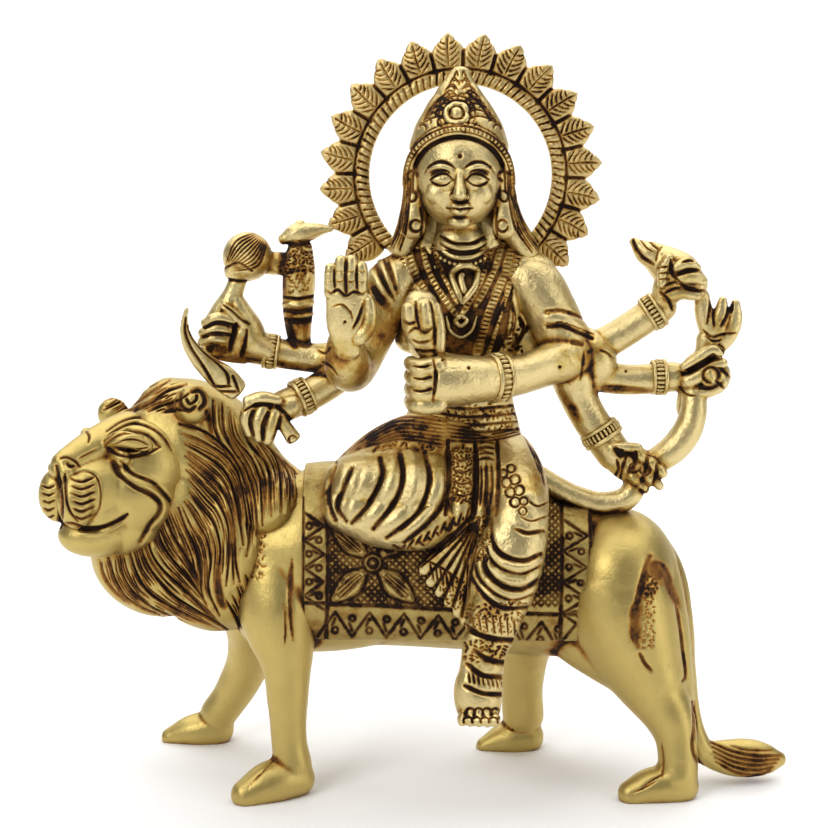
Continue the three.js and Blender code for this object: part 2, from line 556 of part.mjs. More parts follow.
function foot() {
  const ankle = banded([[18.4, -31.6, 47, 5.6], [17.4, -32.6, 38, 5.8], [16.6, -33.8, 33, 6.4],
    [16.8, -35.4, 27.6, 5.6]], { after: 0, sides: 8, flat: 0.8, round: 0.4 });
  const toes = [-3.9, -1.3, 1.3, 3.9].map((dx) =>
    ball([16.8 + dx, -39, 27.4], [1.5, 2.2, 2], { around: 5, down: 3 }));
  return [ankle, toes];
}

// Folds of the skirt round the folded leg, and down the hanging one.
function folds(surface) {
  const across = Array.from({ length: 6 }, (_, i) => {
    const x = -17 + i * 4.3;
    return [[x + 4, 92 - i * 0.4, 0.9], [x, 81, 1.8], [x + 1, 71.5 - i * 0.2, 0.9]];
  });
  const down = Array.from({ length: 4 }, (_, i) => {
    const [x, z] = [25.4 - i * 1.3, 72.4 - i * 5.4];
    return [[x - 7.4, z + 2.2, 0.9], [x - 1, z - 3.8, 1.8], [x + 6.6, z - 2.2, 0.9]];
  });
  return strokes(surface, [...across, ...down], { sink: 0.1 });
}

// The fan of pleats that falls from the lap over the cloth.
function pleats(surface) {
  const fan = Array.from({ length: 5 }, (_, i) => {
    const a = THREE.MathUtils.degToRad(207 + i * 16);
    const at = (across, down, r) => [15 + across * Math.cos(a), 71 + down * Math.sin(a), r];
    return [[15, 72, 1.2], at(8, 9, 1.9), at(15.5, 17, 2.2)];
  });
  return strokes(surface, fan, { sink: -0.5 });
}

function goddess() {
  const chest = join(torso());
  const legs = join(lap());
  const whole = join([
    chest, garlands(surfaceOf(chest)), head(), crown(), rightArms(), leftArms(),
    mace(), sword(), axe(), conch(), trident(), bow(), bud(),
    legs, folds(surfaceOf(legs)), pleats(surfaceOf(saddleCloth())), foot(),
  ]);
  return whole
    .subtract(barrel(CASTING_GAP))
    .subtract(saddleCloth(CASTING_GAP + CLOTH_BEAD))
    .subtract(haloRing(CASTING_GAP));
}

// Halo

const HALO = { x: 12.4, y: 10.2, z: 162.2 };

// A point of the halo at an angle from its top, clockwise as the viewer sees it.
function haloPoint(degrees, radius, y) {
  const a = THREE.MathUtils.degToRad(degrees + HALO_TURN);
  const centre = new THREE.Vector3(HALO.x, HALO.y, HALO.z).multiplyScalar(M);
  return centre.add(new THREE.Vector3(radius * Math.sin(a), y, radius * Math.cos(a)));
}

// The ring, notched across like a cord, as an arc that is open at the bottom. `extra` grows it all round, ends
// included; its section is a diamond.
function haloRing(extra = 0) {
  const notches = 40;
  const grown = extra * Math.SQRT2;
  const middle = HALO_RING_INNER + HALO_RING_WIDTH / 2;
  const sweep = HALO_SWEEP + THREE.MathUtils.radToDeg(grown / middle);
  const rings = Array.from({ length: notches + 1 }, (_, i) => {
    const angle = sweep * ((2 * i) / notches - 1);
    const share = i % 2 || extra ? 1 : 0.8;
    const [half, deep] = [HALO_RING_WIDTH / 2 + grown, (HALO_RING_DEPTH / 2) * share + grown];
    return [[-1, 0.2], [0, 1], [1, 0.2], [0, -1]]
      .map(([out, front]) => haloPoint(angle, middle + out * half, -front * deep));
  });
  return skin(rings);
}

// One leaf: broad, creased along its middle, with a blunt tip that leans down the halo's side.
function haloLeaf(degrees) {
  const root = HALO_RING_INNER + HALO_RING_WIDTH * 0.6;
  const length = HALO_LEAF_LENGTH + HALO_RING_WIDTH * 0.4;
  const half = HALO_LEAF_PITCH * 0.49;
  const lean = Math.sign(degrees) * HALO_LEAF_LEAN;
  const rings = [[0, 0.72], [0.45, 1], [0.8, 0.82], [1, 0.14]].map(([along, wide]) => {
    const radius = root + length * along;
    const middle = degrees + lean * along ** 2;
    const spread = (half * wide * (root + length * 0.45)) / radius;
    const deep = (HALO_LEAF_DEPTH / 2) * (1 - 0.5 * along);
    return [
      haloPoint(middle - spread, radius, deep * 0.6),
      haloPoint(middle - spread * 0.45, radius, -deep),
      haloPoint(middle, radius, -deep * 0.3),
      haloPoint(middle + spread * 0.45, radius, -deep),
      haloPoint(middle + spread, radius, deep * 0.6),
    ];
  });
  return skin(rings);
}

function halo() {
  const leaves = Array.from({ length: HALO_LEAVES }, (_, i) => (i + 0.5) * HALO_LEAF_PITCH)
    .flatMap((degrees) => [haloLeaf(-degrees), haloLeaf(degrees)]);
  return join([haloRing(), leaves]);
}

const figure = new THREE.Group();
figure.add(asMesh("lion", lion(), BRASS_SATIN));
figure.add(asMesh("goddess", goddess(), BRASS_POLISHED));
figure.add(asMesh("halo", halo(), BRASS_GOLDEN));

// The group is moved so that the origin lies under the middle of all three castings.
const middle = new THREE.Box3().setFromObject(figure).getCenter(new THREE.Vector3());
figure.position.set(-middle.x, -middle.y, 0);

export default figure;
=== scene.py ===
"""A cast brass figure of an eight-armed goddess seated on a walking lion, with a leafed halo behind her head.

Each casting is blocked out from tubes and balls, melted into one skin, and then carved. Carving is drawn on
the front view, in the pixels of a picture 828 wide and high, and moves the skin that is seen there along its
own normals. The forms are written in millimetres from the ground under the lion's back, with the goddess
facing -Y.
"""

import json
import math
import random

import bpy
import numpy as np
from mathutils import Matrix, Vector
from mathutils.bvhtree import BVHTree

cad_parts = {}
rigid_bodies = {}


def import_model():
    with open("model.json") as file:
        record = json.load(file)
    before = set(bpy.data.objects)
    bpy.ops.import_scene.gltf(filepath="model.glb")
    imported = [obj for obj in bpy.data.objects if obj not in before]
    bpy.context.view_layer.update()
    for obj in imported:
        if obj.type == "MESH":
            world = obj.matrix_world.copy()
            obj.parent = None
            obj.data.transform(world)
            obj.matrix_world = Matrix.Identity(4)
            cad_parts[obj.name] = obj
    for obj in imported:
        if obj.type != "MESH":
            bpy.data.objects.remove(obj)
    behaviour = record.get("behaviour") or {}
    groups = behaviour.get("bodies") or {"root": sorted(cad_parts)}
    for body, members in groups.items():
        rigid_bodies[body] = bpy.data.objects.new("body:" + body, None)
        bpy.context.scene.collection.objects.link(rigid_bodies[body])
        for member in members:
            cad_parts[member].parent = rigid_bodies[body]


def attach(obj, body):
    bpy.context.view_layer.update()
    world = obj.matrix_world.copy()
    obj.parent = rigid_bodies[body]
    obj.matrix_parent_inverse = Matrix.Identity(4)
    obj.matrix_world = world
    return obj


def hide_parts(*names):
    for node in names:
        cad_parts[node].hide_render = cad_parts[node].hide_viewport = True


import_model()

bl_info = {
    "name": "Brass Goddess on a Lion",
    "version": (1, 0, 0),
    "blender": (4, 5, 0),
    "location": "3D View > Sidebar > Brass Figure",
    "description": "Models a cast brass goddess on a lion, with carving, patina and a plain studio",
    "category": "Object",
}

MM = 0.001

# The most triangles that one piece may hold.
MOST_TRIANGLES = 130_000

# What faces the viewer by less than this takes no carving.
LEAST_FACING = 0.02

# A ribbed band's cuts: how far apart they are, in pixels, and how much they slant.
RIB_PITCH = 4.2
RIB_SLANT = 0.15

# Where the forms' own zero lies from the middle of the figure's box, in millimetres.
MIDDLE_X = 2.14
MIDDLE_Y = -8.70

# The view that the carving is drawn on.
PICTURE = 828
VIEW_TARGET = np.array((0.0, 0.0, 99.4))
VIEW_DISTANCE = 563.0
VIEW_ELEVATION = math.radians(12)
VIEW_FOCAL = 2098.0
SENSOR_WIDTH = 36.0
MM_PER_PIXEL = 0.27

VIEW_FORWARD = np.array((0.0, math.cos(VIEW_ELEVATION), -math.sin(VIEW_ELEVATION)))
VIEW_UP = np.array((0.0, math.sin(VIEW_ELEVATION), math.cos(VIEW_ELEVATION)))
VIEW_EYE = VIEW_TARGET - VIEW_DISTANCE * VIEW_FORWARD


def at(x, y, z):
    """A point of the forms, in the frame's metres."""
    return Vector(((x - MIDDLE_X) * MM, (y - MIDDLE_Y) * MM, z * MM))


def seen(points):
    """Where the front view shows points given in millimetres."""
    away = points - VIEW_EYE
    depth = away @ VIEW_FORWARD
    across = PICTURE / 2 + VIEW_FOCAL * away[:, 0] / depth
    down = PICTURE / 2 - VIEW_FOCAL * (away @ VIEW_UP) / depth
    return np.stack((across, down), axis=1)


def sight(u, v):
    """The direction in which the front view looks through one of its pixels."""
    ray = VIEW_FORWARD * VIEW_FOCAL + VIEW_UP * (PICTURE / 2 - v)
    ray = ray + np.array((u - PICTURE / 2, 0.0, 0.0))
    return ray / np.linalg.norm(ray)


def mark(x, y, z):
    """The pixel at which the front view shows a point of the forms."""
    return tuple(seen(np.array([(x, y, z)], dtype=float))[0])


def aim(u, v, deep, *radius):
    """The place that the front view shows at a pixel, on the plane y = `deep`; a radius is in pixels."""
    ray = sight(u, v)
    reach = (deep - VIEW_EYE[1]) / ray[1]
    place = VIEW_EYE + ray * reach
    scale = reach * (ray @ VIEW_FORWARD) / VIEW_FOCAL
    return (*place, *(r * scale for r in radius))


def smooth_line(points, steps=6):
    """A curve through points, as a finer list of points."""
    knots = np.array(points, dtype=float)
    padded = np.vstack((2 * knots[0] - knots[1], knots, 2 * knots[-1] - knots[-2]))
    shares = np.linspace(0, 1, steps, endpoint=False)[:, None]
    parts = []
    for a, b, c, d in zip(padded, padded[1:], padded[2:], padded[3:]):
        bend = 2 * b + (c - a) * shares + (2 * a - 5 * b + 4 * c - d) * shares**2
        parts.append(0.5 * (bend + (3 * b - a - 3 * c + d) * shares**3))
    return np.vstack((*parts, knots[-1:]))


def length_of(line):
    """How long a line is, in its own units."""
    return np.linalg.norm(np.diff(line, axis=0), axis=1).sum()


def tool(width, lift=-0.5, shade=0.8, taper=0.5):
    """The mark that a tool leaves: how wide, how high (or deep, below 0), how dark and how pointed."""
    return {"width": width, "lift": lift, "shade": shade, "taper": taper}


def between(first, second, count):
    """Lines spread evenly between two lines."""
    a, b = (resample(line, 7) for line in (first, second))
    return [a + (b - a) * (k + 1) / (count + 1) for k in range(count)]


def resample(line, count):
    """As many points as asked for, evenly along a smooth line."""
    fine = smooth_line(line)
    run = np.concatenate(([0], np.cumsum(np.linalg.norm(np.diff(fine, axis=0), axis=1))))
    wanted = np.linspace(0, run[-1], count)
    return np.stack([np.interp(wanted, run, fine[:, k]) for k in range(fine.shape[1])], axis=1)


def deselect():
    """Selects nothing."""
    bpy.ops.object.select_all(action="DESELECT")


def activate(*things):
    """Selects these objects alone, the first of them active."""
    deselect()
    for thing in things:
        thing.select_set(True)
    bpy.context.view_layer.objects.active = things[0]


def apply_modifier(piece, kind, **settings):
    """Adds a modifier, sets it and applies it."""
    activate(piece)
    modifier = piece.modifiers.new(kind.title(), kind)
    for name, value in settings.items():
        setattr(modifier, name, value)
    bpy.ops.object.modifier_apply(modifier=modifier.name)


class Blockout:
    """Tubes and balls that are melted into the skin of one piece."""

    def __init__(self, name):
        self.name = name
        self.parts = []
        self.tubes = {}

    def limb(self, *knots, flat=1.0, cap=1.0):
        """A round-ended tube through knots (x, y, z, radius), thinned front to back by `flat`."""
        ends = []
        for end, inner in ((knots[0], knots[1]), (knots[-1], knots[-2])):
            away = np.array(end[:3], float) - np.array(inner[:3], float)
            away = away / np.linalg.norm(away)
            ends.append([(*(np.array(end[:3]) + away * end[3] * out * cap), end[3] * wide)
                         for out, wide in ((0.55, 0.83), (0.86, 0.5), (0.98, 0.18))])
        full = [*reversed(ends[0]), *knots, *ends[1]] if cap else list(knots)
        self.tubes.setdefault(flat, []).append(full)

    def drawn(self, deep, *knots, **shape):
        """A tube read off the front view, through knots (u, v, radius, nearer), on the plane y = `deep`."""
        places = (aim(u, v, deep - sum(nearer), radius) for u, v, radius, *nearer in knots)
        self.limb(*places, **shape)

    def ball(self, centre, radii, plan=0.0, tilt=0.0):
        """An ellipsoid with half sizes (x, y, z), turned in plan and then tilted in the front view."""
        deselect()
        bpy.ops.mesh.primitive_uv_sphere_add(segments=48, ring_count=32, radius=1.0)
        made = bpy.context.active_object
        turn = Matrix.Rotation(math.radians(tilt), 4, "Y") @ Matrix.Rotation(math.radians(plan), 4, "Z")
        size = Matrix.Diagonal((*[r * MM for r in radii], 1.0))
        made.data.transform(Matrix.Translation(at(*centre)) @ turn @ size)
        self.parts.append(made)

    def tube_mesh(self, flat, runs):
        """All tubes of one flatness, as a curve that is turned into a mesh."""
        path = bpy.data.curves.new(self.name, "CURVE")
        path.dimensions = "3D"
        path.bevel_depth = MM
        path.bevel_resolution = 14
        path.resolution_u = 12
        path.use_fill_caps = True
        for knots in runs:
            spline = path.splines.new("BEZIER")
            spline.radius_interpolation = "CARDINAL"
            spline.bezier_points.add(len(knots) - 1)
            for point, (x, y, z, radius) in zip(spline.bezier_points, knots):
                point.co = at(x, y, z)
                point.radius = radius
                point.handle_left_type = point.handle_right_type = "AUTO"
        made = bpy.data.objects.new(self.name, path)
        bpy.context.collection.objects.link(made)
        activate(made)
        bpy.ops.object.convert(target="MESH")
        return bpy.context.active_object

    def settle(self):
        """Turns the tubes collected so far into meshes."""
        for flat, runs in self.tubes.items():
            for group in ([runs] if flat == 1.0 else [[run] for run in runs]):
                made = self.tube_mesh(flat, group)
                if flat != 1.0:
                    middle = at(0, sum(k[1] for k in group[0]) / len(group[0]), 0)
                    bpy.ops.object.mode_set(mode="EDIT")
                    bpy.ops.mesh.select_all(action="SELECT")
                    bpy.ops.transform.resize(value=(1, flat, 1), center_override=middle)
                    bpy.ops.object.mode_set(mode="OBJECT")
                self.parts.append(made)
        self.tubes = {}

    def trim(self, low, high):
        """Cuts away whatever lies outside a box; None leaves that side open."""
        self.settle()
        for part in self.parts:
            activate(part)
            bpy.ops.object.mode_set(mode="EDIT")
            for corner, way in ((low, -1), (high, 1)):
                for axis, value in enumerate(corner):
                    if value is None:
                        continue
                    plane = [0.0, 0.0, 0.0]
                    plane[axis] = float(way)
                    bpy.ops.mesh.select_all(action="SELECT")
                    bpy.ops.mesh.bisect(plane_co=at(value, value, value), plane_no=plane, use_fill=True,
                                        clear_outer=True)
            bpy.ops.object.mode_set(mode="OBJECT")

    def melt(self, voxel, rounds=4):
        """Joins everything and melts it into one skin of even faces, `voxel` millimetres wide."""
        self.settle()
        activate(*self.parts)
        bpy.ops.object.join()
        skin = bpy.context.active_object
        skin.name = skin.data.name = self.name
        apply_modifier(skin, "REMESH", mode="VOXEL", voxel_size=voxel * MM)
        apply_modifier(skin, "SMOOTH", factor=0.5, iterations=rounds)
        return Carving(skin)


class Carving:
    """One melted skin, and what is cut into it and laid on it."""

    def __init__(self, skin):
        self.skin = skin
        self.extras = []
        self.read()

    def read(self):
        """Takes the skin's vertices and normals, in the forms' millimetres."""
        mesh = self.skin.data
        count = len(mesh.vertices)
        flat = np.empty(count * 3)
        mesh.vertices.foreach_get("co", flat)
        self.points = flat.reshape(-1, 3) / MM + (MIDDLE_X, MIDDLE_Y, 0.0)
        mesh.vertex_normals.foreach_get("vector", flat)
        self.normals = flat.reshape(-1, 3).copy()
        self.spots = seen(self.points)
        self.facing = np.clip(-(self.normals @ VIEW_FORWARD) * 4, -1, 1)
        self.lift = np.zeros(count)
        self.shade = np.zeros(count)
        self.rubbed = np.zeros(count)
        self.soil_and_shade = np.zeros(count)
        self.tree = None

    def refine(self, low, high):
        """Splits the faces that the front view shows inside a box of its pixels."""
        mesh = self.skin.data
        inside = np.all((self.spots > low) & (self.spots < high), axis=1)
        inside &= self.facing > -0.2
        corners = np.empty(len(mesh.loops), dtype=np.int32)
        mesh.loops.foreach_get("vertex_index", corners)
        starts = np.empty(len(mesh.polygons), dtype=np.int32)
        mesh.polygons.foreach_get("loop_start", starts)
        chosen = np.logical_and.reduceat(inside[corners], starts)
        activate(self.skin)
        bpy.context.tool_settings.mesh_select_mode = (False, False, True)
        bpy.ops.object.mode_set(mode="EDIT")
        bpy.ops.mesh.select_all(action="DESELECT")
        bpy.ops.object.mode_set(mode="OBJECT")
        mesh.polygons.foreach_set("select", chosen)
        bpy.ops.object.mode_set(mode="EDIT")
        bpy.ops.mesh.subdivide(number_cuts=1)
        bpy.ops.object.mode_set(mode="OBJECT")
        apply_modifier(self.skin, "SMOOTH", factor=0.5, iterations=2)
        self.read()

    def near(self, path, reach, side):
        """The skin's vertices near a line of the front view, with how far off it and along it they lie."""
        low, high = path.min(0) - reach, path.max(0) + reach
        found = np.all((self.spots > low) & (self.spots < high), axis=1) & (self.facing * side > LEAST_FACING)
        found = np.nonzero(found)[0]
        spots = self.spots[found]
        best = np.full(len(found), np.inf)
        along = np.zeros(len(found))
        last = max(1, len(path) - 1)
        for k, (a, b) in enumerate(zip(path, path[1:])):
            way = b - a
            share = np.clip((spots - a) @ way / max(way @ way, 1e-9), 0, 1)
            gap = np.linalg.norm(spots - a - share[:, None] * way, axis=1)
            closer = gap < best
            best[closer] = gap[closer]
            along[closer] = (k + share[closer]) / last
        keep = best < reach
        return found[keep], best[keep], along[keep]

    def stroke(self, line, width=1.6, lift=-0.5, shade=0.8, side=1, taper=0.5):
        """Sinks or raises the skin along a line, `width` pixels to each side, by `lift` millimetres."""
        found, gap, along = self.near(smooth_line(line, 4), 2.4 * width, side)
        strength = np.exp(-((gap / width) ** 2)) * np.minimum(1, np.abs(self.facing[found]) + 0.3)
        strength *= np.clip(np.sin(np.pi * np.clip(along, 0.02, 0.98)), 0, 1) ** taper
        if lift < 0:
            self.lift[found] = np.minimum(self.lift[found], lift * strength)
        else:
            self.lift[found] += lift * strength
            self.shade[found] *= 1 - 0.9 * strength
        self.shade[found] = np.maximum(self.shade[found], shade * strength)

    def ribbed(self, line, width):
        """A raised band along a line of the front view, with fine cuts across it."""
        self.stroke(line, width=width, lift=1.3, shade=0, taper=0.05)
        places = resample(line, max(3, int(length_of(smooth_line(line)) / RIB_PITCH)))
        for place, after in zip(places, places[1:]):
            way = (after - place) / np.linalg.norm(after - place)
            across = np.array((-way[1], way[0] + RIB_SLANT)) * width
            self.stroke([place - across, place + across], **tool(0.95, -0.15, 0.6, 0.3))

    def strokes(self, lines, **cut):
        """The same mark along several lines."""
        for line in lines:
            self.stroke(line, **cut)

    def engrave(self, table):
        """Cuts a table of lines, each row its tool's mark and then the pixels that it runs through."""
        for cut, *line in table:
            self.stroke(line, **cut)

    def comb(self, guides, count, fine, **deep):
        """Cuts guide lines, and finer ones between each and the next."""
        self.strokes(guides, **deep)
        for first, second in zip(guides, guides[1:]):
            self.strokes(between(first, second, count), **fine)

    def dots(self, places, radius, lift, shade):
        """Round pits at pixels of the front view."""
        for u, v in places:
            self.stroke([(u - 0.01, v), (u + 0.01, v)], width=radius, lift=lift, shade=shade, taper=0)

    def ring(self, centre, radius, side=1, turn=(0, 360), **cut):
        """A round line about a pixel of the front view."""
        angles = np.radians(np.linspace(*turn, 13))
        line = [(centre[0] + radius * math.cos(a), centre[1] + radius * math.sin(a)) for a in angles]
        self.stroke(line, side=side, **{"taper": 0, **cut})

    def stipple(self, low, high, pitch, lift, shade, seed):
        """A rough punched ground inside a box of the front view."""
        rng = random.Random(seed)
        rows = int((high[1] - low[1]) / pitch)
        columns = int((high[0] - low[0]) / pitch)
        for row in range(rows):
            for column in range(columns):
                u = low[0] + (column + rng.random()) * pitch
                v = low[1] + (row + rng.random()) * pitch
                turn = rng.uniform(0, math.pi)
                reach = pitch * rng.uniform(0.2, 0.55)
                dash = np.array((math.cos(turn), math.sin(turn))) * reach
                self.stroke([(u, v) - dash, (u, v) + dash], width=pitch * rng.uniform(0.2, 0.34), lift=lift,
                            shade=shade, taper=0.2)

    def hatch(self, low, high, pitch, side=1, **cut):
        """Two crossing rows of slanting lines inside a box of the front view."""
        tall = high[1] - low[1]
        for way in (1, -1):
            start = low[0] - tall if way > 0 else low[0]
            stop = high[0] if way > 0 else high[0] + tall
            for u in np.arange(start, stop, pitch * math.sqrt(2)):
                first = max(0.0, (low[0] - u) * way if way > 0 else u - high[0])
                last = min(tall, high[0] - u if way > 0 else u - low[0])
                if last > first:
                    line = [(u + way * step, low[1] + step) for step in (first, last)]
                    self.stroke(line, side=side, **cut)

    def plate(self, outline, lift, shade=0.0):
        """Clears the carving inside an outline of the front view and raises or sinks the skin there."""
        edge = smooth_line(outline, 3)
        low, high = edge.min(0), edge.max(0)
        found = np.all((self.spots > low) & (self.spots < high), axis=1) & (self.facing > LEAST_FACING)
        found = np.nonzero(found)[0]
        u, v = self.spots[found].T
        inside = np.zeros(len(found), dtype=bool)
        for (a, b), (c, d) in zip(edge, np.roll(edge, -1, axis=0)):
            if b != d:
                inside ^= ((b > v) != (d > v)) & (u < (c - a) * (v - b) / (d - b) + a)
        self.lift[found[inside]] = lift
        self.shade[found[inside]] = shade

    def cut(self):
        """Moves the skin by what has been carved, and writes it back."""
        self.points += self.normals * self.lift[:, None]
        mesh = self.skin.data
        placed = (self.points - (MIDDLE_X, MIDDLE_Y, 0.0)) * MM
        mesh.vertices.foreach_set("co", placed.ravel())
        mesh.update()
        self.tree = BVHTree.FromObject(self.skin, bpy.context.evaluated_depsgraph_get())
        return self

    def spot(self, u, v, proud=0.0):
        """The point of the skin that the front view shows at a pixel, in the forms' millimetres."""
        ray = Vector(sight(u, v))
        hit = self.tree.ray_cast(at(*VIEW_EYE), ray)
        if hit[0] is None:
            return None
        place = hit[0] + hit[1] * proud * MM
        return (place.x / MM + MIDDLE_X, place.y / MM + MIDDLE_Y, place.z / MM)

    def laid(self, line, count, proud):
        """Points along a line of the front view, on the skin."""
        found = [self.spot(u, v, proud) for u, v in resample(line, count)]
        return [place for place in found if place is not None]

    def cord(self, line, radius, proud=0.2, count=9):
        """A raised cord laid along a line of the front view."""
        places = self.laid(line, count, proud)
        if len(places) > 2:
            wide = [radius * (0.55 if k in (0, len(places) - 1) else 1.0) for k in range(len(places))]
            self.extras.append([(*place, r) for place, r in zip(places, wide)])

    def beads(self, line, radius, pitch=None):
        """A row of beads laid along a line of the front view."""
        apart = pitch or 2.1 * radius / MM_PER_PIXEL
        for place in self.laid(line, max(2, int(length_of(smooth_line(line)) / apart)), 0.3 * radius):
            self.extras.append(bead(place, radius))

    def rub(self, centre, radius, amount):
        """Rubs the skin clean round a pixel of the front view, less and less out to `radius`."""
        gap = np.linalg.norm(self.spots - centre, axis=1) / radius
        clean = amount * np.clip(1.2 - gap, 0, 1) * (self.facing > 0)
        self.rubbed = np.maximum(self.rubbed, clean)

    def stand(self):
        """Flattens whatever hangs below the ground into soles."""
        self.points[:, 2] = np.maximum(self.points[:, 2], 0.0)
        return self

    def shade_and_soil(self, centre, radius, amount):
        """Darkens the skin round a pixel of the front view, less and less out to `radius`, with painted shade
        and patina.
        """
        gap = np.linalg.norm(self.spots - centre, axis=1) / radius
        self.soil_and_shade = np.maximum(self.soil_and_shade, amount * np.clip(1.3 - gap, 0, 1))

    def shade_and_stain(self, table):
        """Darkens the skin at a table of places, each (u, v, radius, amount), with painted shade and patina.
        """
        for *centre, radius, amount in table:
            self.shade_and_soil(centre, radius, amount)

    def spread(self, values, rounds):
        """Values evened out between neighbouring vertices."""
        mesh = self.skin.data
        edges = np.empty(len(mesh.edges) * 2, dtype=np.int32)
        mesh.edges.foreach_get("vertices", edges)
        first, second = edges.reshape(-1, 2).T
        count = len(self.points)
        ties = np.maximum(np.bincount(first, minlength=count) + np.bincount(second, minlength=count), 1)
        for _ in range(rounds):
            total = np.bincount(first, weights=values[second], minlength=count)
            total += np.bincount(second, weights=values[first], minlength=count)
            values = total / ties
        return values

    def patina(self, grime):
        """How dark each vertex is, from 0 on the high places to 1 in the grooves, and how rubbed it is."""
        depth = np.zeros(len(self.points))
        proud = np.zeros(len(self.points))
        smoothed = self.points.T.copy()
        for rounds, scale, weight in ((3, 0.05, 0.3), (9, 0.22, 0.45), (24, 0.7, 0.4)):
            smoothed = np.array([self.spread(column, rounds) for column in smoothed])
            sunk = np.einsum("ij,ij->i", smoothed.T - self.points, self.normals) / scale
            depth += weight * np.clip(sunk, 0, 1.5)
            proud += weight * np.clip(-sunk, 0, 1.5)
        dark = np.clip(depth + self.shade, 0, 1)
        # What was darkened round chosen pixels adds painted shade under things and in hollows, and patina.
        dark = dark + 0.7 * self.spread(dark, 10) + grime + self.soil_and_shade
        return np.clip(dark - self.rubbed, 0, 1), np.clip(proud + self.rubbed * 0.6, 0, 1)

    def lighten(self):
        """Thins the piece to the triangles it may hold, most of all where it is flat."""
        mesh = self.skin.data
        mesh.calc_loop_triangles()
        share = MOST_TRIANGLES / len(mesh.loop_triangles)
        if share < 1:
            apply_modifier(self.skin, "DECIMATE", ratio=share)

    def finish(self, slot, material, *nodes, grime=0.0):
        """Writes the patina, joins what was laid on, and hands the piece over."""
        mesh = self.skin.data
        for name, values in zip(("patina", "wear"), self.patina(grime)):
            mesh.attributes.new(name, "FLOAT", "POINT").data.foreach_set("value", values.astype(np.float32))
        tubes = [extra for extra in self.extras if isinstance(extra, list)]
        others = [extra for extra in self.extras if not isinstance(extra, list)]
        if tubes:
            others.append(Blockout("cords").tube_mesh(1.0, tubes))
        activate(self.skin, *others)
        bpy.ops.object.join()
        self.lighten()
        bpy.ops.object.shade_smooth()
        mesh.materials.clear()
        mesh.materials.append(material)
        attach(self.skin, "root")
        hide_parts(*nodes)


def bead(place, radius):
    """One small bead with a few dozen faces."""
    deselect()
    bpy.ops.mesh.primitive_ico_sphere_add(subdivisions=2, radius=radius * MM)
    made = bpy.context.active_object
    made.data.transform(Matrix.Translation(at(*place)))
    return made


class Wire:
    """A shader socket that Python's operators work on."""

    def __init__(self, tree, socket):
        self.tree = tree
        self.socket = socket

    def maths(self, operation, first, second):
        """One Math node on wires or numbers."""
        node = self.tree.nodes.new("ShaderNodeMath")
        node.operation = operation
        for socket, value in zip(node.inputs, (first, second)):
            if isinstance(value, Wire):
                self.tree.links.new(value.socket, socket)
            else:
                socket.default_value = value
        return Wire(self.tree, node.outputs[0])

    def __add__(self, other):
        return self.maths("ADD", self, other)

    def __sub__(self, other):
        return self.maths("SUBTRACT", self, other)

    def __mul__(self, other):
        return self.maths("MULTIPLY", self, other)

    def __rsub__(self, other):
        return self.maths("SUBTRACT", other, self)

    __radd__ = __add__
    __rmul__ = __mul__

    def clamp(self):
        """Kept between 0 and 1."""
        return self.maths("MINIMUM", self.maths("MAXIMUM", self, 0.0), 1.0)


class Finish:
    """A material's node tree."""

    def __init__(self, name):
        self.material = bpy.data.materials.new(name)
        self.material.use_nodes = True
        self.tree = self.material.node_tree
        self.shader = self.tree.nodes["Principled BSDF"]

    def node(self, kind, output=0, settings=None, **inputs):
        """A node with its settings, then its sockets' values or links, as the wire of one output."""
        node = self.tree.nodes.new(kind)
        for name, value in (settings or {}).items():
            if name == "stops":
                self.set_stops(node.color_ramp, value)
            else:
                setattr(node, name, value)
        for name, value in inputs.items():
            self.feed(node.inputs[name.replace("_", " ")], value)
        return Wire(self.tree, node.outputs[output])

    def set_stops(self, ramp, stops):
        """A ramp's places and colours."""
        while len(ramp.elements) < len(stops):
            ramp.elements.new(0.5)
        for element, (place, colour) in zip(ramp.elements, stops):
            element.position = place
            element.color = (*colour, 1.0)

    def feed(self, socket, value):
        """Links a wire to a socket, or sets the socket's own value."""
        if isinstance(value, Wire):
            self.tree.links.new(value.socket, socket)
        else:
            socket.default_value = value

    def noise(self, scale, detail, rough):
        """A noise that is fixed to the piece."""
        place = self.node("ShaderNodeTexCoord", 3)
        return self.node("ShaderNodeTexNoise", 0, Vector=place, Scale=scale, Detail=detail, Roughness=rough)


def linear(colour):
    """A colour as the eye names it, as the shader's linear values."""
    return tuple(c / 12.92 if c <= 0.04045 else ((c + 0.055) / 1.055) ** 2.4 for c in colour)


# The metal's noises, as (scale, detail, roughness), from clouds across a whole casting down to its grain.
CLOUDS = (55.0, 5.0, 0.6)
BLOTS = (150.0, 6.0, 0.68)
MOTTLES = (330.0, 4.0, 0.6)
GRAINS = (1500.0, 3.0, 0.6)

# How deep in the patina and the painted shade each colour stands, from rubbed metal to the darkest cut.
DEPTHS = (0.0, 0.19, 0.42, 0.72, 1.0)

# What the patina leaves of the golden colour on its way to brown.
BROWNED = (0.52, 0.39, 0.3)


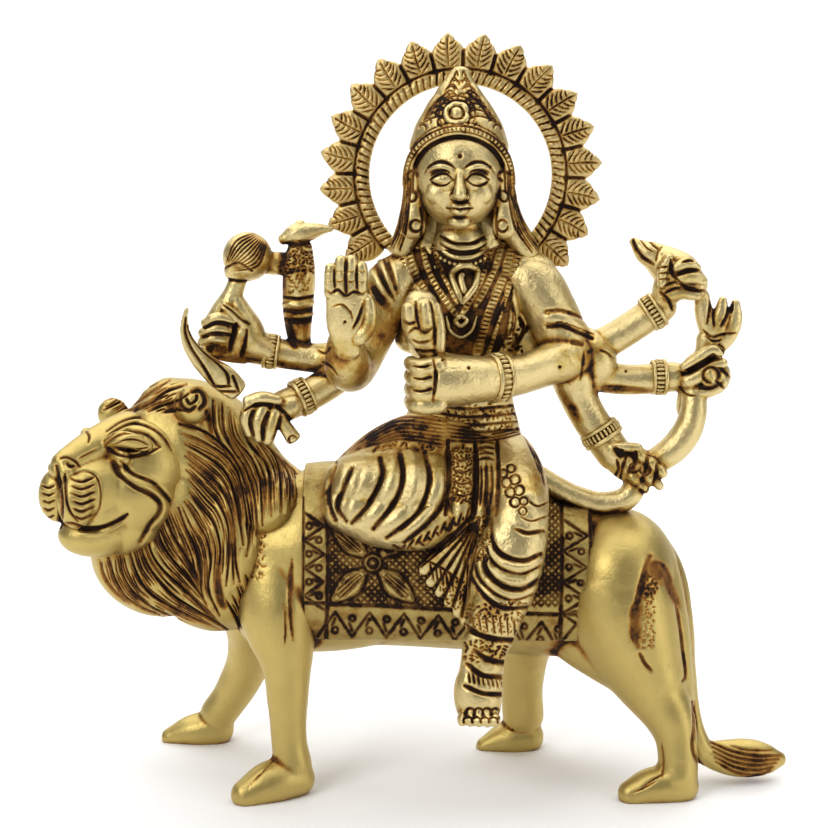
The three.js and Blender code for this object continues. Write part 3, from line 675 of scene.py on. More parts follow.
def brass(name, polished, satin, golden, rougher=1.0, aged=1.0):
    """Cast brass: bright where rubbed, golden in the hollows, brown-black in the cuts; painted shade in
    corners.
    """
    chosen = bpy.context.scene.figure
    made = Finish(name)
    carved = made.node("ShaderNodeAttribute", 2, {"attribute_name": "patina"})
    rubbed = made.node("ShaderNodeAttribute", 2, {"attribute_name": "wear"})
    open_air = made.node("ShaderNodeAmbientOcclusion", 1, {"samples": 6}, Distance=chosen.reach)
    cloudy, blotted, mottled, fine = (made.noise(*kind) for kind in (CLOUDS, BLOTS, MOTTLES, GRAINS))
    # Painted shade: ambient occlusion darkens the colour in corners, hollows and between parts, where shade
    # falls.
    occlusion_shade = (1.0 - open_air) * 0.9
    # Blots of stain, heavier in the cuts and where the painted occlusion shade falls.
    patches = ((blotted - 0.47) * 5.0).clamp() * (aged * (occlusion_shade * 1.3 + carved * 0.8 + 0.14))
    stained = patches + (cloudy - 0.5) * 0.5 + (mottled - 0.5) * 0.34
    # The colour's depth: patina in the cuts, painted occlusion shade and stains, less where rubbed.
    depth = carved * (0.65 + 0.5 * blotted) + occlusion_shade - 0.15 + stained - rubbed * 0.25
    pits = ((0.335 - fine) * 18.0).clamp() * ((mottled - 0.46) * 8.0).clamp()
    depth = (depth + pits * 0.7).clamp()
    brown = tuple(share * g for share, g in zip(BROWNED, golden))
    stops = list(zip(DEPTHS, (polished, satin, golden, brown, chosen.patina)))
    colour = made.node("ShaderNodeValToRGB", 0, {"stops": stops}, Fac=depth)
    made.feed(made.shader.inputs["Base Color"], colour)
    # Patina and painted shade together make the metal duller and rougher.
    dark_patina_and_shade = ((depth - 0.4) * 2.4).clamp()
    made.feed(made.shader.inputs["Metallic"], 1.0 - dark_patina_and_shade * 0.75)
    roughness = chosen.roughness * rougher + dark_patina_and_shade * 0.4 + (mottled - 0.5) * 0.22
    made.feed(made.shader.inputs["Roughness"], roughness.clamp())
    grain = mottled * (0.6 + 1.2 * aged) + blotted * (1.2 * aged) + fine * 0.5 - pits * 1.4
    bump = made.node("ShaderNodeBump", 0, Height=grain, Strength=0.4, Distance=0.0002 + 0.0004 * aged)
    made.feed(made.shader.inputs["Normal"], bump)
    made.feed(made.shader.inputs["Specular IOR Level"], 0.25)
    return made.material


def chosen_colour(name, description, default):
    """A colour that a user may change."""
    return bpy.props.FloatVectorProperty(
        name=name, description=description, subtype="COLOR", size=3, min=0, max=1, default=default)


class FigureSettings(bpy.types.PropertyGroup):
    """What a user would change: how fine the skins are, the metal's colours and the light."""

    detail: bpy.props.FloatProperty(
        name="Skin detail", description="Width of the faces of a melted skin, in millimetres",
        default=0.46, min=0.3, max=2.0)
    polished: chosen_colour(
        "Polished brass", "Colour of the goddess's rubbed high places", linear((0.84, 0.76, 0.54)))
    satin: chosen_colour("Satin brass", "Colour of the lion's smooth flanks", linear((0.77, 0.68, 0.41)))
    golden: chosen_colour(
        "Golden brass", "Colour of the halo and of the shallow hollows", linear((0.69, 0.52, 0.25)))
    patina: chosen_colour("Patina", "Colour of the dark left in the cuts", linear((0.14, 0.078, 0.038)))
    # The ambient occlusion's distance: how far from a corner the painted shade reaches.
    reach: bpy.props.FloatProperty(
        name="Patina reach", description="How far from a corner the patina starts",
        default=0.0024, min=0.0, unit="LENGTH")
    roughness: bpy.props.FloatProperty(
        name="Roughness", description="Roughness of the rubbed metal", default=0.38, min=0, max=1)
    light: bpy.props.FloatProperty(
        name="Light", description="Strength of the soft lights", default=1.0, min=0)
    floor: chosen_colour("Floor", "Colour of the floor", (0.93, 0.93, 0.93))


def fineness(share):
    """The width of a skin's faces, in millimetres."""
    detail = bpy.context.scene.figure.detail * share
    return detail


def lion_brass():
    """Brushed and little aged."""
    chosen = bpy.context.scene.figure
    bright, plain = (tuple(share * c for c in chosen.satin) for share in (0.95, 0.86))
    return brass("lion_brass", bright, plain, chosen.golden, rougher=1.15, aged=0.35)


def goddess_brass():
    """Polished on the high places, dark in the cuts."""
    chosen = bpy.context.scene.figure
    return brass("goddess_brass", chosen.polished, chosen.satin, chosen.golden)


def halo_brass():
    """More golden than the goddess."""
    chosen = bpy.context.scene.figure
    light = tuple(0.75 * a + 0.25 * b for a, b in zip(chosen.polished, chosen.golden))
    warm = tuple(0.6 * a + 0.4 * b for a, b in zip(chosen.satin, chosen.golden))
    return brass("halo_brass", light, warm, chosen.golden, rougher=1.1)


def cloth_brass():
    """Duller than the lion."""
    chosen = bpy.context.scene.figure
    dull = tuple(0.2 * a + 0.5 * b for a, b in zip(chosen.satin, chosen.golden))
    bright, warm = (tuple(share * c for c in chosen.satin) for share in (0.85, 0.7))
    return brass("cloth_brass", bright, warm, dull, rougher=1.2)


# Lion

HEAD_TURN = math.radians(40)
SKULL = (-71.6, -8.0, 89.2)


def on_head(forward, near, up, *radius):
    """A place on the lion's head: how far forward, to the near side and up from the skull's middle."""
    return (
        SKULL[0] - forward * math.cos(HEAD_TURN) + near * math.sin(HEAD_TURN),
        SKULL[1] - forward * math.sin(HEAD_TURN) - near * math.cos(HEAD_TURN),
        SKULL[2] + up, *radius,
    )


BARREL = [(-47, 0, 58, 19), (-31, 0, 59.2, 24), (-9, 0, 59.6, 24.3), (15, 0, 57.6, 23.6), (38, 0, 54, 22),
          (54, 0, 53, 20.2), (62.5, 0, 51, 14)]
BARREL_FLAT = 0.86

TAIL_CUT = tool(2.0, -0.7, 1.0, 0.3)

# The tail's edge on the near thigh, and the rough hollow beside it.
THIGH_LINES = (
    (tool(3.2, -0.6, 1.0, 0.3), (650, 556), (643, 580), (638, 600), (633, 620), (633, 634), (638, 646)),
    (TAIL_CUT, (640, 654), (645, 664), (651, 670)),
    (tool(2.6, -0.5, 0.9), (652, 560), (663, 566), (669, 578), (671, 592), (677, 606)),
    (tool(1.5, -0.5, 0.9, 0.2), (676, 604), (680, 625), (683, 650), (686, 674), (683, 681)),
    (TAIL_CUT, (693, 702), (695, 724), (693, 745), (697, 759), (706, 770)),
    (tool(5, -0.9, 1.0), (637, 602), (635, 617), (635, 630), (637, 641)),
    (tool(6, -0.6, 1.0), (651, 562), (657, 569), (663, 580)),
    (tool(3.6, -0.5, 0.9), (664, 571), (668, 582), (674, 595), (679, 606)),
)

# The rear paw's crease, and the lines behind the shoulder and the foreleg.
FLANK_LINES = (
    (tool(1.4, -0.3, 0.5), (661, 742), (663, 760), (662, 778)),
    (tool(2.4, -0.5, 0.6, 0.4), (292, 560), (290, 600), (293, 640)),
    (tool(1.6, -0.3, 0.4), (283, 600), (286, 625), (284, 648)),
    (tool(1.6, -0.2, 0.5), (313, 662), (311, 690), (307, 720)),
)

# Where painted shade and patina darken the rump, the belly and the tuft: painted shade under the belly and in
# the rump's hollow.
LION_SHADE_AND_STAINS = (
    (645, 600, 90, 0.2), (640, 700, 60, 0.16), (430, 662, 70, 0.35), (540, 665, 50, 0.35),
    (765, 760, 30, 0.4), (285, 590, 40, 0.1), (650, 592, 16, 0.35),
    (656, 570, 11, 0.6), (636, 612, 9, 0.6), (635, 628, 9, 0.6),
)


class FIGURE_OT_lion_body(bpy.types.Operator):
    """Models the lion's barrel, legs and tail"""

    bl_idname = "figure.lion_body"
    bl_label = "Lion's Body"

    def execute(self, context):
        form = Blockout("lion_body")
        form.limb(*BARREL, flat=BARREL_FLAT, cap=0.5)
        form.limb((-42, -1, 50, 14.6), (-27, -1, 49, 15.4), (-10, -3, 54, 17), cap=0.5)
        form.ball((55, -4, 55), (16.5, 19.5, 19))
        form.ball((58, 3, 52), (14, 15, 17))
        self.legs(form)
        self.tail(form)
        body = form.melt(fineness(1.25), rounds=14)
        body.refine((628, 540), (800, 800))
        self.carve(body)
        body.stand().cut().finish("brass_satin", lion_brass(), "lion")
        return {"FINISHED"}

    def legs(self, form):
        form.limb((-34.4, -3, 72, 11.4), (-36, -6.6, 60, 12.8), (-35.8, -13.6, 46, 10.6), (-34, -17, 35, 7),
                  (-33.7, -19, 24, 5.4), (-33.4, -20, 14.5, 4.8), (-32.4, -20.6, 7, 5.2), cap=0.5)
        form.limb((-31.8, -20.6, 4, 5.4), (-38.4, -23.8, 3.8, 6), (-44.4, -27, 2, 4.4))
        form.limb((-42, 8, 45, 12), (-45.4, 14, 28.6, 7.3), (-51, 17, 15.5, 5.6), (-56.6, 18.6, 7, 5.1),
                  cap=0.5)
        form.limb((-56.6, 18.6, 3.4, 5.2), (-64, 18.4, 2.4, 4.8), (-69.6, 18, 1, 3))
        form.limb((54, -7, 54, 16.4), (58.4, -12, 41, 14.4), (64.6, -17, 27.5, 9.2), (69.2, -20.5, 18.5, 6.3),
                  (70.4, -22.5, 10.5, 5.4), (70, -23.5, 5, 5.6), cap=0.5)
        form.limb((71, -23.4, 3, 5.2), (63.2, -24.4, 3, 5.2), (58, -25.6, 1.6, 4))
        form.limb((43, -6, 42, 9), (52.5, -11.5, 35.4, 8), (60.6, -16, 29, 5.8))
        form.limb((33.6, 6, 46, 13), (31.4, 10, 33, 8.2), (30.4, 12.5, 20, 6.2), (31, 13.5, 8, 5.8), cap=0.5)
        form.limb((31.6, 13.4, 3, 5.4), (25.4, 12.8, 2, 5), (20.4, 12, 0.6, 3))

    def tail(self, form):
        form.limb((63.5, -1, 66.5, 3.4), (69.5, -4, 58, 3.2), (72.4, -7.5, 45, 3), (73.4, -11, 31, 2.8),
                  (75.2, -13.5, 17, 2.8), (78, -14, 9, 3))
        form.limb((63.4, -7.4, 60, 7), (67, -10.4, 47, 6.4), (69.4, -13.6, 33, 5.4), (71, -16, 22, 4.4))
        form.limb((77, -14, 8.6, 3), (84, -13.5, 7.2, 4.8), (91.5, -12.5, 6.4, 5.4), (97, -11.5, 5.8, 4),
                  (99.6, -10.8, 5.6, 2.4), flat=0.8, cap=0.8)

    def carve(self, body):
        body.engrave(THIGH_LINES)
        body.stipple((642, 575), (660, 600), 4.2, lift=-0.25, shade=0.75, seed=11)
        body.stipple((640, 588), (656, 650), 3.6, lift=-0.15, shade=0.5, seed=12)
        # Locks of the tail's tuft.
        for k in range(5):
            body.stroke([(712 + k, 742 + 5 * k), (732 + k, 751 + 5.6 * k), (758, 756 + 5 * k),
                         (782 - 3 * k, 755 + 4 * k)], **tool(1.9, -0.7, 1.0, 0.35))
            body.stroke([(728, 745 + 5.4 * k), (748, 750 + 5.4 * k), (776 - 3 * k, 750 + 4.6 * k)],
                        **tool(1.2, -0.35))
        # Creases of the paws.
        for toe in (0, 7):
            body.stroke([(247 + toe, 789 - toe), (256 + toe, 778 - toe), (266 + toe, 768 - toe)],
                        **tool(1.2, -0.3, 0.4))
            body.stroke([(632 + toe, 793 - toe / 3), (644 + toe, 788 - toe), (658 + toe, 780 - toe)],
                        **tool(1.3, -0.3, 0.45))
        body.engrave(FLANK_LINES)
        body.stipple((248, 512), (266, 580), 4.2, lift=-0.2, shade=0.45, seed=13)
        body.shade_and_stain(LION_SHADE_AND_STAINS)


EAR_CUT = tool(2.4, -1.0, 1.0, 0.1)

# The two creases and the ridge of the cheek.
CHEEK_LINES = (
    (tool(2.5, -1.0, 0.8, 0.25), (113, 462), (120, 475), (135, 487), (152, 495), (161, 504), (160, 514),
     (150, 526), (141, 542)),
    (tool(2.2, -0.8, 0.8, 0.25), (120, 462), (134, 474), (153, 482), (165, 494), (175, 507)),
    (tool(1.8, 0.35, 0), (117, 470), (133, 481), (151, 489), (163, 499)),
)

# The lids, the rim of the eyeball and the brow.
EYE_LINES = (
    (tool(1.9, -0.75, 0.9, 0.25), (105, 445), (114, 437), (126, 432), (140, 432), (151, 437), (160, 447)),
    (tool(1.9, -0.7, 0.75, 0.25), (105, 447), (117, 454), (132, 456), (147, 453), (160, 447)),
    (tool(1.2), (113, 446), (124, 440), (138, 440), (150, 446)),
    (tool(1.2), (113, 447), (126, 450), (138, 450), (150, 447)),
    (tool(1.5, 0.4, 0), (116, 443), (128, 437), (142, 437), (152, 442)),
    (tool(1.8, 0.45, 0), (102, 440), (114, 429), (130, 423), (147, 425), (162, 434), (174, 446)),
    (tool(1.5, -0.6, 0.85, 0.3), (104, 441), (118, 429), (134, 423), (150, 427), (163, 436), (172, 450)),
    (tool(1.5, -0.5, 0.7, 0.3), (107, 431), (122, 421), (140, 417), (158, 423), (172, 436), (181, 449)),
    (tool(1.5, -0.4, 0.5), (84, 430), (89, 436), (88, 444)),
)

# The cleft, the lip's edges and the mouth.
LIP_LINES = (
    (tool(2.2, -1.0, 0.8, 0.2), (56, 466), (59, 485), (61, 505), (60, 527)),
    (tool(1.5, -0.5, 0.8, 0.2), (65, 474), (65, 492), (69, 510), (78, 522)),
    (tool(1.4, -0.35, 0.25), (70, 476), (84, 471), (96, 476), (101, 490), (100, 508), (92, 519)),
    (tool(2.2, -1.0, 0.8, 0.25), (62, 524), (73, 525), (86, 529), (102, 528), (117, 522), (127, 515)),
    (tool(2.2, 0.45, 0), (80, 534), (98, 534), (114, 528), (126, 521)),
)

# The nostrils.
NOSE_LINES = (
    (tool(1.6, -0.55), (58, 459), (66, 457), (75, 461), (80, 467)),
    (tool(1.6, -0.6, 0.9), (66, 462), (70, 466), (75, 466)),
    (tool(1.8, -0.4, 0.3), (99, 448), (86, 455), (78, 459)),
)

# Guide lines of the mane's hair, from its root to its tip.
WITHERS = [
    [(213, 400), (214, 425), (224, 450), (238, 475), (246, 500), (250, 530), (248, 556)],
    [(222, 403), (224, 430), (236, 452), (247, 470), (255, 500), (257, 534)],
    [(231, 412), (236, 436), (251, 457), (259, 476), (262, 500), (262, 526)],
    [(243, 428), (253, 446), (266, 462), (271, 482), (272, 516)],
    [(260, 438), (273, 452), (280, 470), (282, 512)],
    [(270, 448), (284, 464), (290, 480), (291, 511)],
    [(283, 458), (296, 470), (300, 486), (298, 511)],
]
CHEEK = [
    [(180, 424), (200, 429), (216, 439), (232, 455), (244, 476), (248, 503)],
    [(181, 434), (204, 442), (224, 455), (239, 471), (243, 495), (246, 520), (250, 545)],
    [(184, 444), (206, 456), (224, 470), (234, 488), (240, 514), (243, 545)],
    [(186, 456), (207, 473), (222, 488), (231, 508), (236, 534), (236, 560), (240, 582)],
    [(187, 470), (207, 491), (220, 505), (228, 526), (229, 556), (226, 586)],
    [(190, 492), (202, 508), (214, 526), (220, 552), (216, 580), (220, 606)],
    [(185, 502), (196, 520), (206, 540), (210, 562), (207, 588), (219, 616)],
    [(178, 508), (186, 528), (196, 548), (200, 570), (201, 595), (214, 622)],
]
JAW = [
    [(165, 515), (172, 535), (182, 552), (193, 570), (200, 590)],
    [(155, 525), (163, 545), (175, 562), (190, 580), (206, 604)],
    [(147, 537), (153, 555), (165, 572), (183, 588), (205, 612), (226, 632)],
    [(140, 545), (145, 562), (157, 580), (175, 598), (198, 613), (222, 627), (240, 640)],
    [(130, 552), (135, 570), (146, 590), (165, 605), (190, 618), (215, 628)],
    [(119, 556), (122, 575), (133, 592), (150, 607), (175, 618)],
    [(108, 558), (112, 577), (122, 595), (140, 608), (160, 615)],
    [(99, 560), (104, 578), (113, 592), (126, 604)],
]
BROW = [
    [(100, 402), (112, 394), (126, 388), (140, 384)],
    [(104, 410), (118, 402), (134, 392), (152, 382)],
    [(118, 412), (134, 403), (150, 391), (170, 380)],
    [(132, 412), (150, 402), (166, 391), (186, 384)],
    [(148, 411), (162, 405), (176, 400), (190, 392)],
    [(162, 412), (173, 410), (184, 411)],
]
CHEST = [
    [(226, 600), (236, 618), (243, 635)],
    [(238, 588), (247, 610), (251, 630), (258, 646)],
    [(246, 576), (256, 600), (258, 622), (262, 640)],
]

# The fields of hair between guide lines, with how many fine lines lie between each and the next.
HAIR = ((WITHERS, 3), (CHEEK, 4), ([CHEEK[-1], JAW[0]], 4), (JAW, 4), (BROW, 3), (CHEST, 3))

# The two ears, then the deep partings between the locks.
MANE_LINES = (
    (EAR_CUT, (180, 394), (179, 402), (183, 409), (190, 411), (195, 407)),
    (EAR_CUT, (192, 391), (200, 390), (205, 396), (205, 404), (200, 409)),
    (tool(1.7, -1.0, 1.0, 0.1), (186, 399), (190, 404), (196, 400), (197, 395)),
    (tool(3.4, -0.8, 0.9), (226, 510), (233, 528), (233, 546)),
    (tool(3.8, -0.9, 0.9), (218, 552), (217, 578), (221, 602), (229, 608)),
    (tool(2.6, -0.7), (258, 470), (264, 488), (266, 508)),
    (tool(3.0, -0.7), (206, 408), (211, 424), (212, 438)),
)


class FIGURE_OT_lion_head(bpy.types.Operator):
    """Models the lion's face and its carved mane"""

    bl_idname = "figure.lion_head"
    bl_label = "Lion's Head and Mane"

    def execute(self, context):
        self.face().finish("brass_satin", lion_brass(), "lion")
        self.mane().finish("brass_satin", lion_brass(), "lion", grime=0.16)
        return {"FINISHED"}

    def face(self):
        form = Blockout("lion_face")
        turn = math.degrees(HEAD_TURN)
        form.ball(on_head(1.6, 0, -1), (14.2, 14.2, 13), plan=turn)
        form.limb(on_head(3, 0, -6, 11.8), on_head(14.6, 0, -6, 10.6), on_head(22, 0, -6.2, 9), cap=0.5)
        form.limb(on_head(5, 0, 7.5, 5.8), on_head(15.4, 0, 5, 5), on_head(24, 0, 1.9, 3.9))
        form.ball(on_head(25.2, 0, 0.6), (3, 5, 2.6), plan=turn)
        form.ball(on_head(14, 0, -17.6), (12, 9, 6.6), plan=turn)
        form.ball(on_head(6.5, 0, -15.4), (12, 11.4, 10), plan=turn)
        form.ball(on_head(12.5, 0, -12.6), (12.6, 9.6, 8), plan=turn)
        for side in (-1, 1):
            form.ball(on_head(5.4, side * 7.2, -7.2), (10.8, 7.4, 11.6), plan=turn)
            form.ball(on_head(12, side * 5, -10.6), (10, 5.6, 9), plan=turn)
            form.ball(on_head(23.8, side * 4.7, -7.2), (5.2, 4.9, 7.2), plan=turn)
            form.ball(on_head(12.4, side * 7.8, 3.4), (2.4, 3.8, 2.6), plan=turn)
        form.limb(on_head(14.2, 4.4, 6.6, 1.7), on_head(12.4, 8.8, 8.4, 2.2), on_head(7, 12.4, 6.4, 1.7))
        form.limb(on_head(14.2, -4.4, 6.2, 1.5), on_head(12.6, -8, 7, 1.7), on_head(9, -10.4, 5.6, 1.4))
        face = form.melt(fineness(0.8), rounds=10)
        face.refine((35, 380), (210, 570))
        face.engrave(EYE_LINES)
        self.muzzle(face)
        face.engrave(CHEEK_LINES)
        for spot in ((118, 500), (150, 470), (95, 545), (165, 470)):
            face.rub(spot, 22, 0.3)
        return face.cut()

    def muzzle(self, face):
        face.engrave(LIP_LINES)
        for row in range(6):
            v = 478 + row * 7.6
            face.stroke([(70 + row * 0.8, v), (82, v + 3.4), (96 - row * 0.4, v - 1.6)],
                        **tool(1.5, -0.55, 0.95))
        for row in range(5):
            v = 485 + row * 7.6
            face.stroke([(41 + row * 0.6, v), (48, v + 2.8), (55, v)], **tool(1.4, -0.5, 0.9))
        face.engrave(NOSE_LINES)

    def mane(self):
        form = Blockout("lion_mane")
        form.limb((-69, 1, 94, 16.4), (-59, 1, 89, 18.2), (-47, 1, 76.4, 16), (-39, 0, 69, 16), cap=0.6)
        form.ball((-60, -1, 71), (21, 19, 27))
        form.ball((-50, -5, 66), (12.5, 17.2, 21))
        form.ball((-40.4, -3.4, 77), (11.2, 17.2, 9.4))
        form.ball((-69, -4, 61), (18.6, 17, 16), tilt=20)
        form.ball((-54, -1, 54), (17, 18, 14), tilt=12)
        form.ball(on_head(-7.2, 12.6, 15.4), (5, 4, 5))
        form.ball(on_head(0.6, -14, 9.8), (4.2, 3.6, 4.4))
        mane = form.melt(fineness(0.7), rounds=14)
        mane.refine((80, 370), (320, 660))
        rng = random.Random(5)
        for guides, fine in HAIR:
            self.locks(mane, guides, fine, rng)
        mane.engrave(MANE_LINES)
        self.far_side(mane, rng)
        return mane.cut()

    def locks(self, mane, guides, fine, rng):
        """Hair between each guide line and the next: raised locks, deep partings and fine scratches."""
        for first, second in zip(guides, guides[1:]):
            for line in between(first, second, 1):
                mane.stroke(line, **tool(3.6, 0.45, 0, 0.6))
        for guide in guides:
            mane.stroke([(u + rng.uniform(-0.8, 0.8), v) for u, v in guide], width=rng.uniform(1.2, 1.8),
                        lift=-rng.uniform(0.8, 1.2), shade=1.0, taper=0.5)
        for first, second in zip(guides, guides[1:]):
            for line in between(first, second, fine):
                for start in rng.sample(range(0, 4), 2):
                    part = [(u + rng.uniform(-0.8, 0.8), v + rng.uniform(-0.8, 0.8))
                            for u, v in line[start:start + rng.randrange(3, 5)]]
                    mane.stroke(part, width=rng.uniform(0.95, 1.35), lift=-rng.uniform(0.3, 0.65),
                                shade=rng.uniform(0.3, 0.95), taper=0.6)

    def far_side(self, mane, rng):
        """The same hair, plainer, on the side away from the viewer."""
        for k in range(9):
            spread = 16 * k
            line = [(120 + spread * 0.9, 385 + spread * 0.1), (112 + spread * 1.05, 450 + spread * 0.3),
                    (116 + spread * 0.95, 530 + spread * 0.3), (130 + spread * 0.8, 600 + spread * 0.2)]
            mane.stroke(line, side=-1, **tool(2.4, -1.1, 1))
            for shift in (4, 8, 12):
                mane.stroke([(u + shift, v + rng.uniform(-6, 6)) for u, v in line], side=-1,
                            **tool(1.4, -0.45, 0.7))


# Saddle cloth

CLOTH_FRONT = -29.5
CLOTH_BACK = 47.5
CLOTH_HEM = 41.0
CLOTH_THICK = 1.7


class FIGURE_OT_saddle_cloth(bpy.types.Operator):
    """Models the saddle cloth with its patterned borders and flower"""

    bl_idname = "figure.saddle_cloth"
    bl_label = "Saddle Cloth"

    def execute(self, context):
        form = Blockout("saddle_cloth")
        form.limb(*((x, y, z, r + CLOTH_THICK) for x, y, z, r in BARREL), flat=BARREL_FLAT, cap=0.5)
        form.trim((CLOTH_FRONT, None, CLOTH_HEM), (CLOTH_BACK, None, None))
        cloth = form.melt(fineness(0.9), rounds=2)
        cloth.refine((296, 480), (600, 665))
        self.carve(cloth)
        cloth.cut().finish("brass_satin", cloth_brass(), "lion", grime=0.3)
        return {"FINISHED"}

    def carve(self, cloth):
        line = tool(1.7, -0.5, 0.95, 0)
        fine = tool(1.1, -0.3, 0.65, 0)
        wedge = tool(1.35, -0.45, 0.9, 0.15)
        for side in (1, -1):
            cloth.hatch((329, 500), (560, 606), 5.0, side=side, **fine)
            for u in (302, 327, 561, 590):
                cloth.stroke([(u, 498), (u + 1, 560), (u - 1, 648)], side=side, **line)
            for v in (607, 645):
                cloth.stroke([(302, v - 4), (400, v), (500, v + 6), (590, v + 8)], side=side, **line)
            self.zigzag(cloth, [(314, 512), (314, 610)], 10, 7, side, wedge)
            self.zigzag(cloth, [(576, 520), (574, 630)], 12, 7, side, wedge)
            self.zigzag(cloth, [(318, 624), (400, 626), (500, 631), (575, 637)], 12, 15, side, wedge)
        self.flower(cloth, (373, 563))

    def zigzag(self, cloth, path, reach, count, side, fine):
        spine = resample(path, count + 1)
        for k in range(count):
            a, b = spine[k], spine[k + 1]
            way = (b - a) / np.linalg.norm(b - a)
            across = np.array((-way[1], way[0])) * reach * (1 if k % 2 else -1)
            cloth.stroke([a - across, b + across], side=side, **fine)
            if k < count - 1:
                cloth.ring(b - across * 0.5, 2.8, side=side, **fine)
                cloth.stroke([b - across * 0.1 - way * 3, b + across * 0.5], side=side, **fine)

    def flower(self, cloth, centre):
        u, v = centre
        deep = tool(1.6, -0.6, 1.0, 0)
        for across, down in ((1, 1), (1, -1), (-1, 1), (-1, -1)):
            tip = (u + across * 43, v + down * 40)
            petal = [(u + across * 8, v + down * 4), (u + across * 30, v + down * 12), tip,
                     (u + across * 14, v + down * 32), (u + across * 4, v + down * 8)]
            cloth.plate(petal, 0.3)
            cloth.stroke(petal, **deep)
            for shift in (-5, 0, 5):
                side = [(u + across * (14 + shift * 0.4), v + down * (13 - shift * 0.4)),
                        (u + across * (34 + shift * 0.5), v + down * (31 - shift * 0.6))]
                cloth.stroke(side, **tool(1.0, -0.3, 0.6, 0.4))
        cloth.plate([(u + 11 * math.cos(a), v + 11 * math.sin(a)) for a in np.linspace(0, 2 * math.pi, 16)],
                    0.3)
        cloth.ring(centre, 10, **deep)
        cloth.ring(centre, 5, **tool(1.3, -0.45, 0.9, 0))


# Goddess


class FIGURE_OT_goddess_body(bpy.types.Operator):
    """Models the goddess's trunk with its shawl, chokers and garlands"""

    bl_idname = "figure.goddess_body"
    bl_label = "Goddess's Body"

    def execute(self, context):
        form = Blockout("goddess_body")
        form.limb((12, 3, 84, 21), (12.6, 3, 92, 17.4), (13, 2.5, 99, 14.8), (13.2, 2, 106, 13.2),
                  (13.4, 1, 113, 13.4), (13, 0, 123, 16), (12.6, 1, 133, 16.2), (12.2, 2, 140, 9), flat=0.66,
                  cap=0.5)
        form.limb((-5, 2, 135, 6.8), (3, 2.5, 139, 6.8), (21, 2.5, 139, 7), (31, 2, 135.5, 7.6), flat=0.84)
        for x in (5.6, 20):
            form.ball((x, -6.4, 126.5), (6.6, 4.6, 6.6))
        form.limb((12, 0.5, 136, 7), (11.8, -1, 151, 6))
        form.limb((12, -1.5, 143.4, 7.8), (12, -1.7, 145, 7.4))
        form.limb((25, 3, 130, 7), (28.6, 2.5, 121, 6), (32, 1.5, 115, 5))
        form.limb((0.6, 3, 128, 6), (-1, 2.5, 120, 4.4))
        body = form.melt(fineness(0.8), rounds=4)
        body.refine((398, 234), (528, 358))
        self.carve(body)
        body.cut()
        self.jewels(body)
        body.finish("brass_polished", goddess_brass(), "goddess")
        return {"FINISHED"}

    def carve(self, body):
        deep = tool(1.9, -0.9, 1.0, 0.3)
        fine = tool(1.3, -0.4, 0.7)
        body.comb([[(366, 262), (380, 285), (391, 305)], [(376, 250), (389, 280), (398, 303)],
                   [(388, 246), (397, 275), (405, 300)]], 2, fine, **deep)
        body.stipple((383, 246), (401, 288), 3.6, lift=-0.3, shade=0.65, seed=3)
        body.plate([(403, 246), (440, 250), (480, 250), (518, 248), (514, 290), (500, 352), (444, 352),
                    (440, 322), (424, 300)], -0.8, shade=0.7)
        for line, width in (
            ([(401, 245), (403, 262), (408, 280), (414, 299)], 2.4),
            ([(408, 245), (412, 262), (419, 280), (431, 299)], 4.0),
            ([(423, 246), (428, 268), (437, 288), (451, 308), (457, 316)], 3.9),
            ([(433, 246), (438, 264), (447, 283), (457, 303)], 2.5),
            ([(492, 246), (486, 265), (479, 283), (470, 300), (463, 313)], 3.7),
            ([(501, 247), (495, 268), (486, 288), (476, 306)], 3.6),
            ([(512, 247), (505, 273), (494, 300), (485, 325), (477, 355)], 5.2),
            ([(520, 250), (514, 272), (507, 295), (498, 322), (489, 353)], 2.8),
        ):
            body.ribbed(line, width)
        body.stroke([(505, 300), (496, 322), (485, 353)], **tool(1.6, -0.9, 1.0))
        body.stipple((442, 252), (482, 266), 3.0, lift=-0.4, shade=0.5, seed=4)
        body.strokes([[(440, v), (452, v + 7), (463, v + 8), (474, v + 7), (486, v)] for v in (236, 243)],
                     **tool(1.6, -0.7, 1.0, 0.2))
        body.strokes([[(504, 305), (506, 318), (504, 332)], [(512, 300), (515, 316), (514, 334)],
                      [(522, 270), (528, 290), (528, 312)], [(530, 268), (537, 292), (534, 318)],
                      [(520, 318), (524, 330), (516, 345)], [(540, 300), (532, 322), (520, 338)]], **deep)
        body.stipple((498, 322), (524, 352), 5, lift=-0.5, shade=0.9, seed=9)
        for v in (404, 412, 420, 428, 436):
            for side, shade in ((1, 0.8), (-1, 0.6)):
                body.stroke([(430, v), (470, v + 5), (520, v + 1)], side=side,
                            **tool(1.5, -0.4, shade, 0.3))
        body.stipple((430, 404), (520, 440), 4.4, lift=-0.25, shade=0.45, seed=5)
        back = [[(u, 245), (u + 4, 300), (u + 10, 360)] for u in range(385, 545, 16)]
        body.comb(back, 1, {**fine, "side": -1}, side=-1, **deep)

    def jewels(self, body):
        body.cord([(440, 240), (452, 246.5), (463, 248), (475, 246.5), (487, 239)], 0.6)
        body.cord([(442, 250), (452, 256), (463, 257.5), (474, 256), (485, 250)], 0.6)
        body.beads([(441, 258), (452, 263), (463, 264), (474, 263), (484, 258)], 0.55)
        body.cord([(463, 304), (456, 289), (452, 276), (456, 268), (464, 265), (473, 267), (478, 274),
                   (474, 288), (463, 304)], 0.85, count=17)
        body.cord([(463, 272), (461, 280), (465, 294)], 0.9, proud=0.3)
        body.cord([(461, 314.5), (455.5, 320), (461, 325.5), (466.5, 320), (461, 314.5)], 0.6, count=13)
        body.cord([(446, 316), (450, 330), (461, 337), (472, 330), (477, 316)], 0.4)


# Where painted shade and patina are thick between the folds and over the foot.
LEG_SHADE_AND_STAINS = (
    (440, 425, 50, 0.4), (478, 490, 34, 0.4), (545, 470, 30, 0.35), (440, 540, 34, 0.3), (480, 590, 34, 0.3),
    (400, 440, 40, 0.3), (488, 655, 26, 0.25),
)

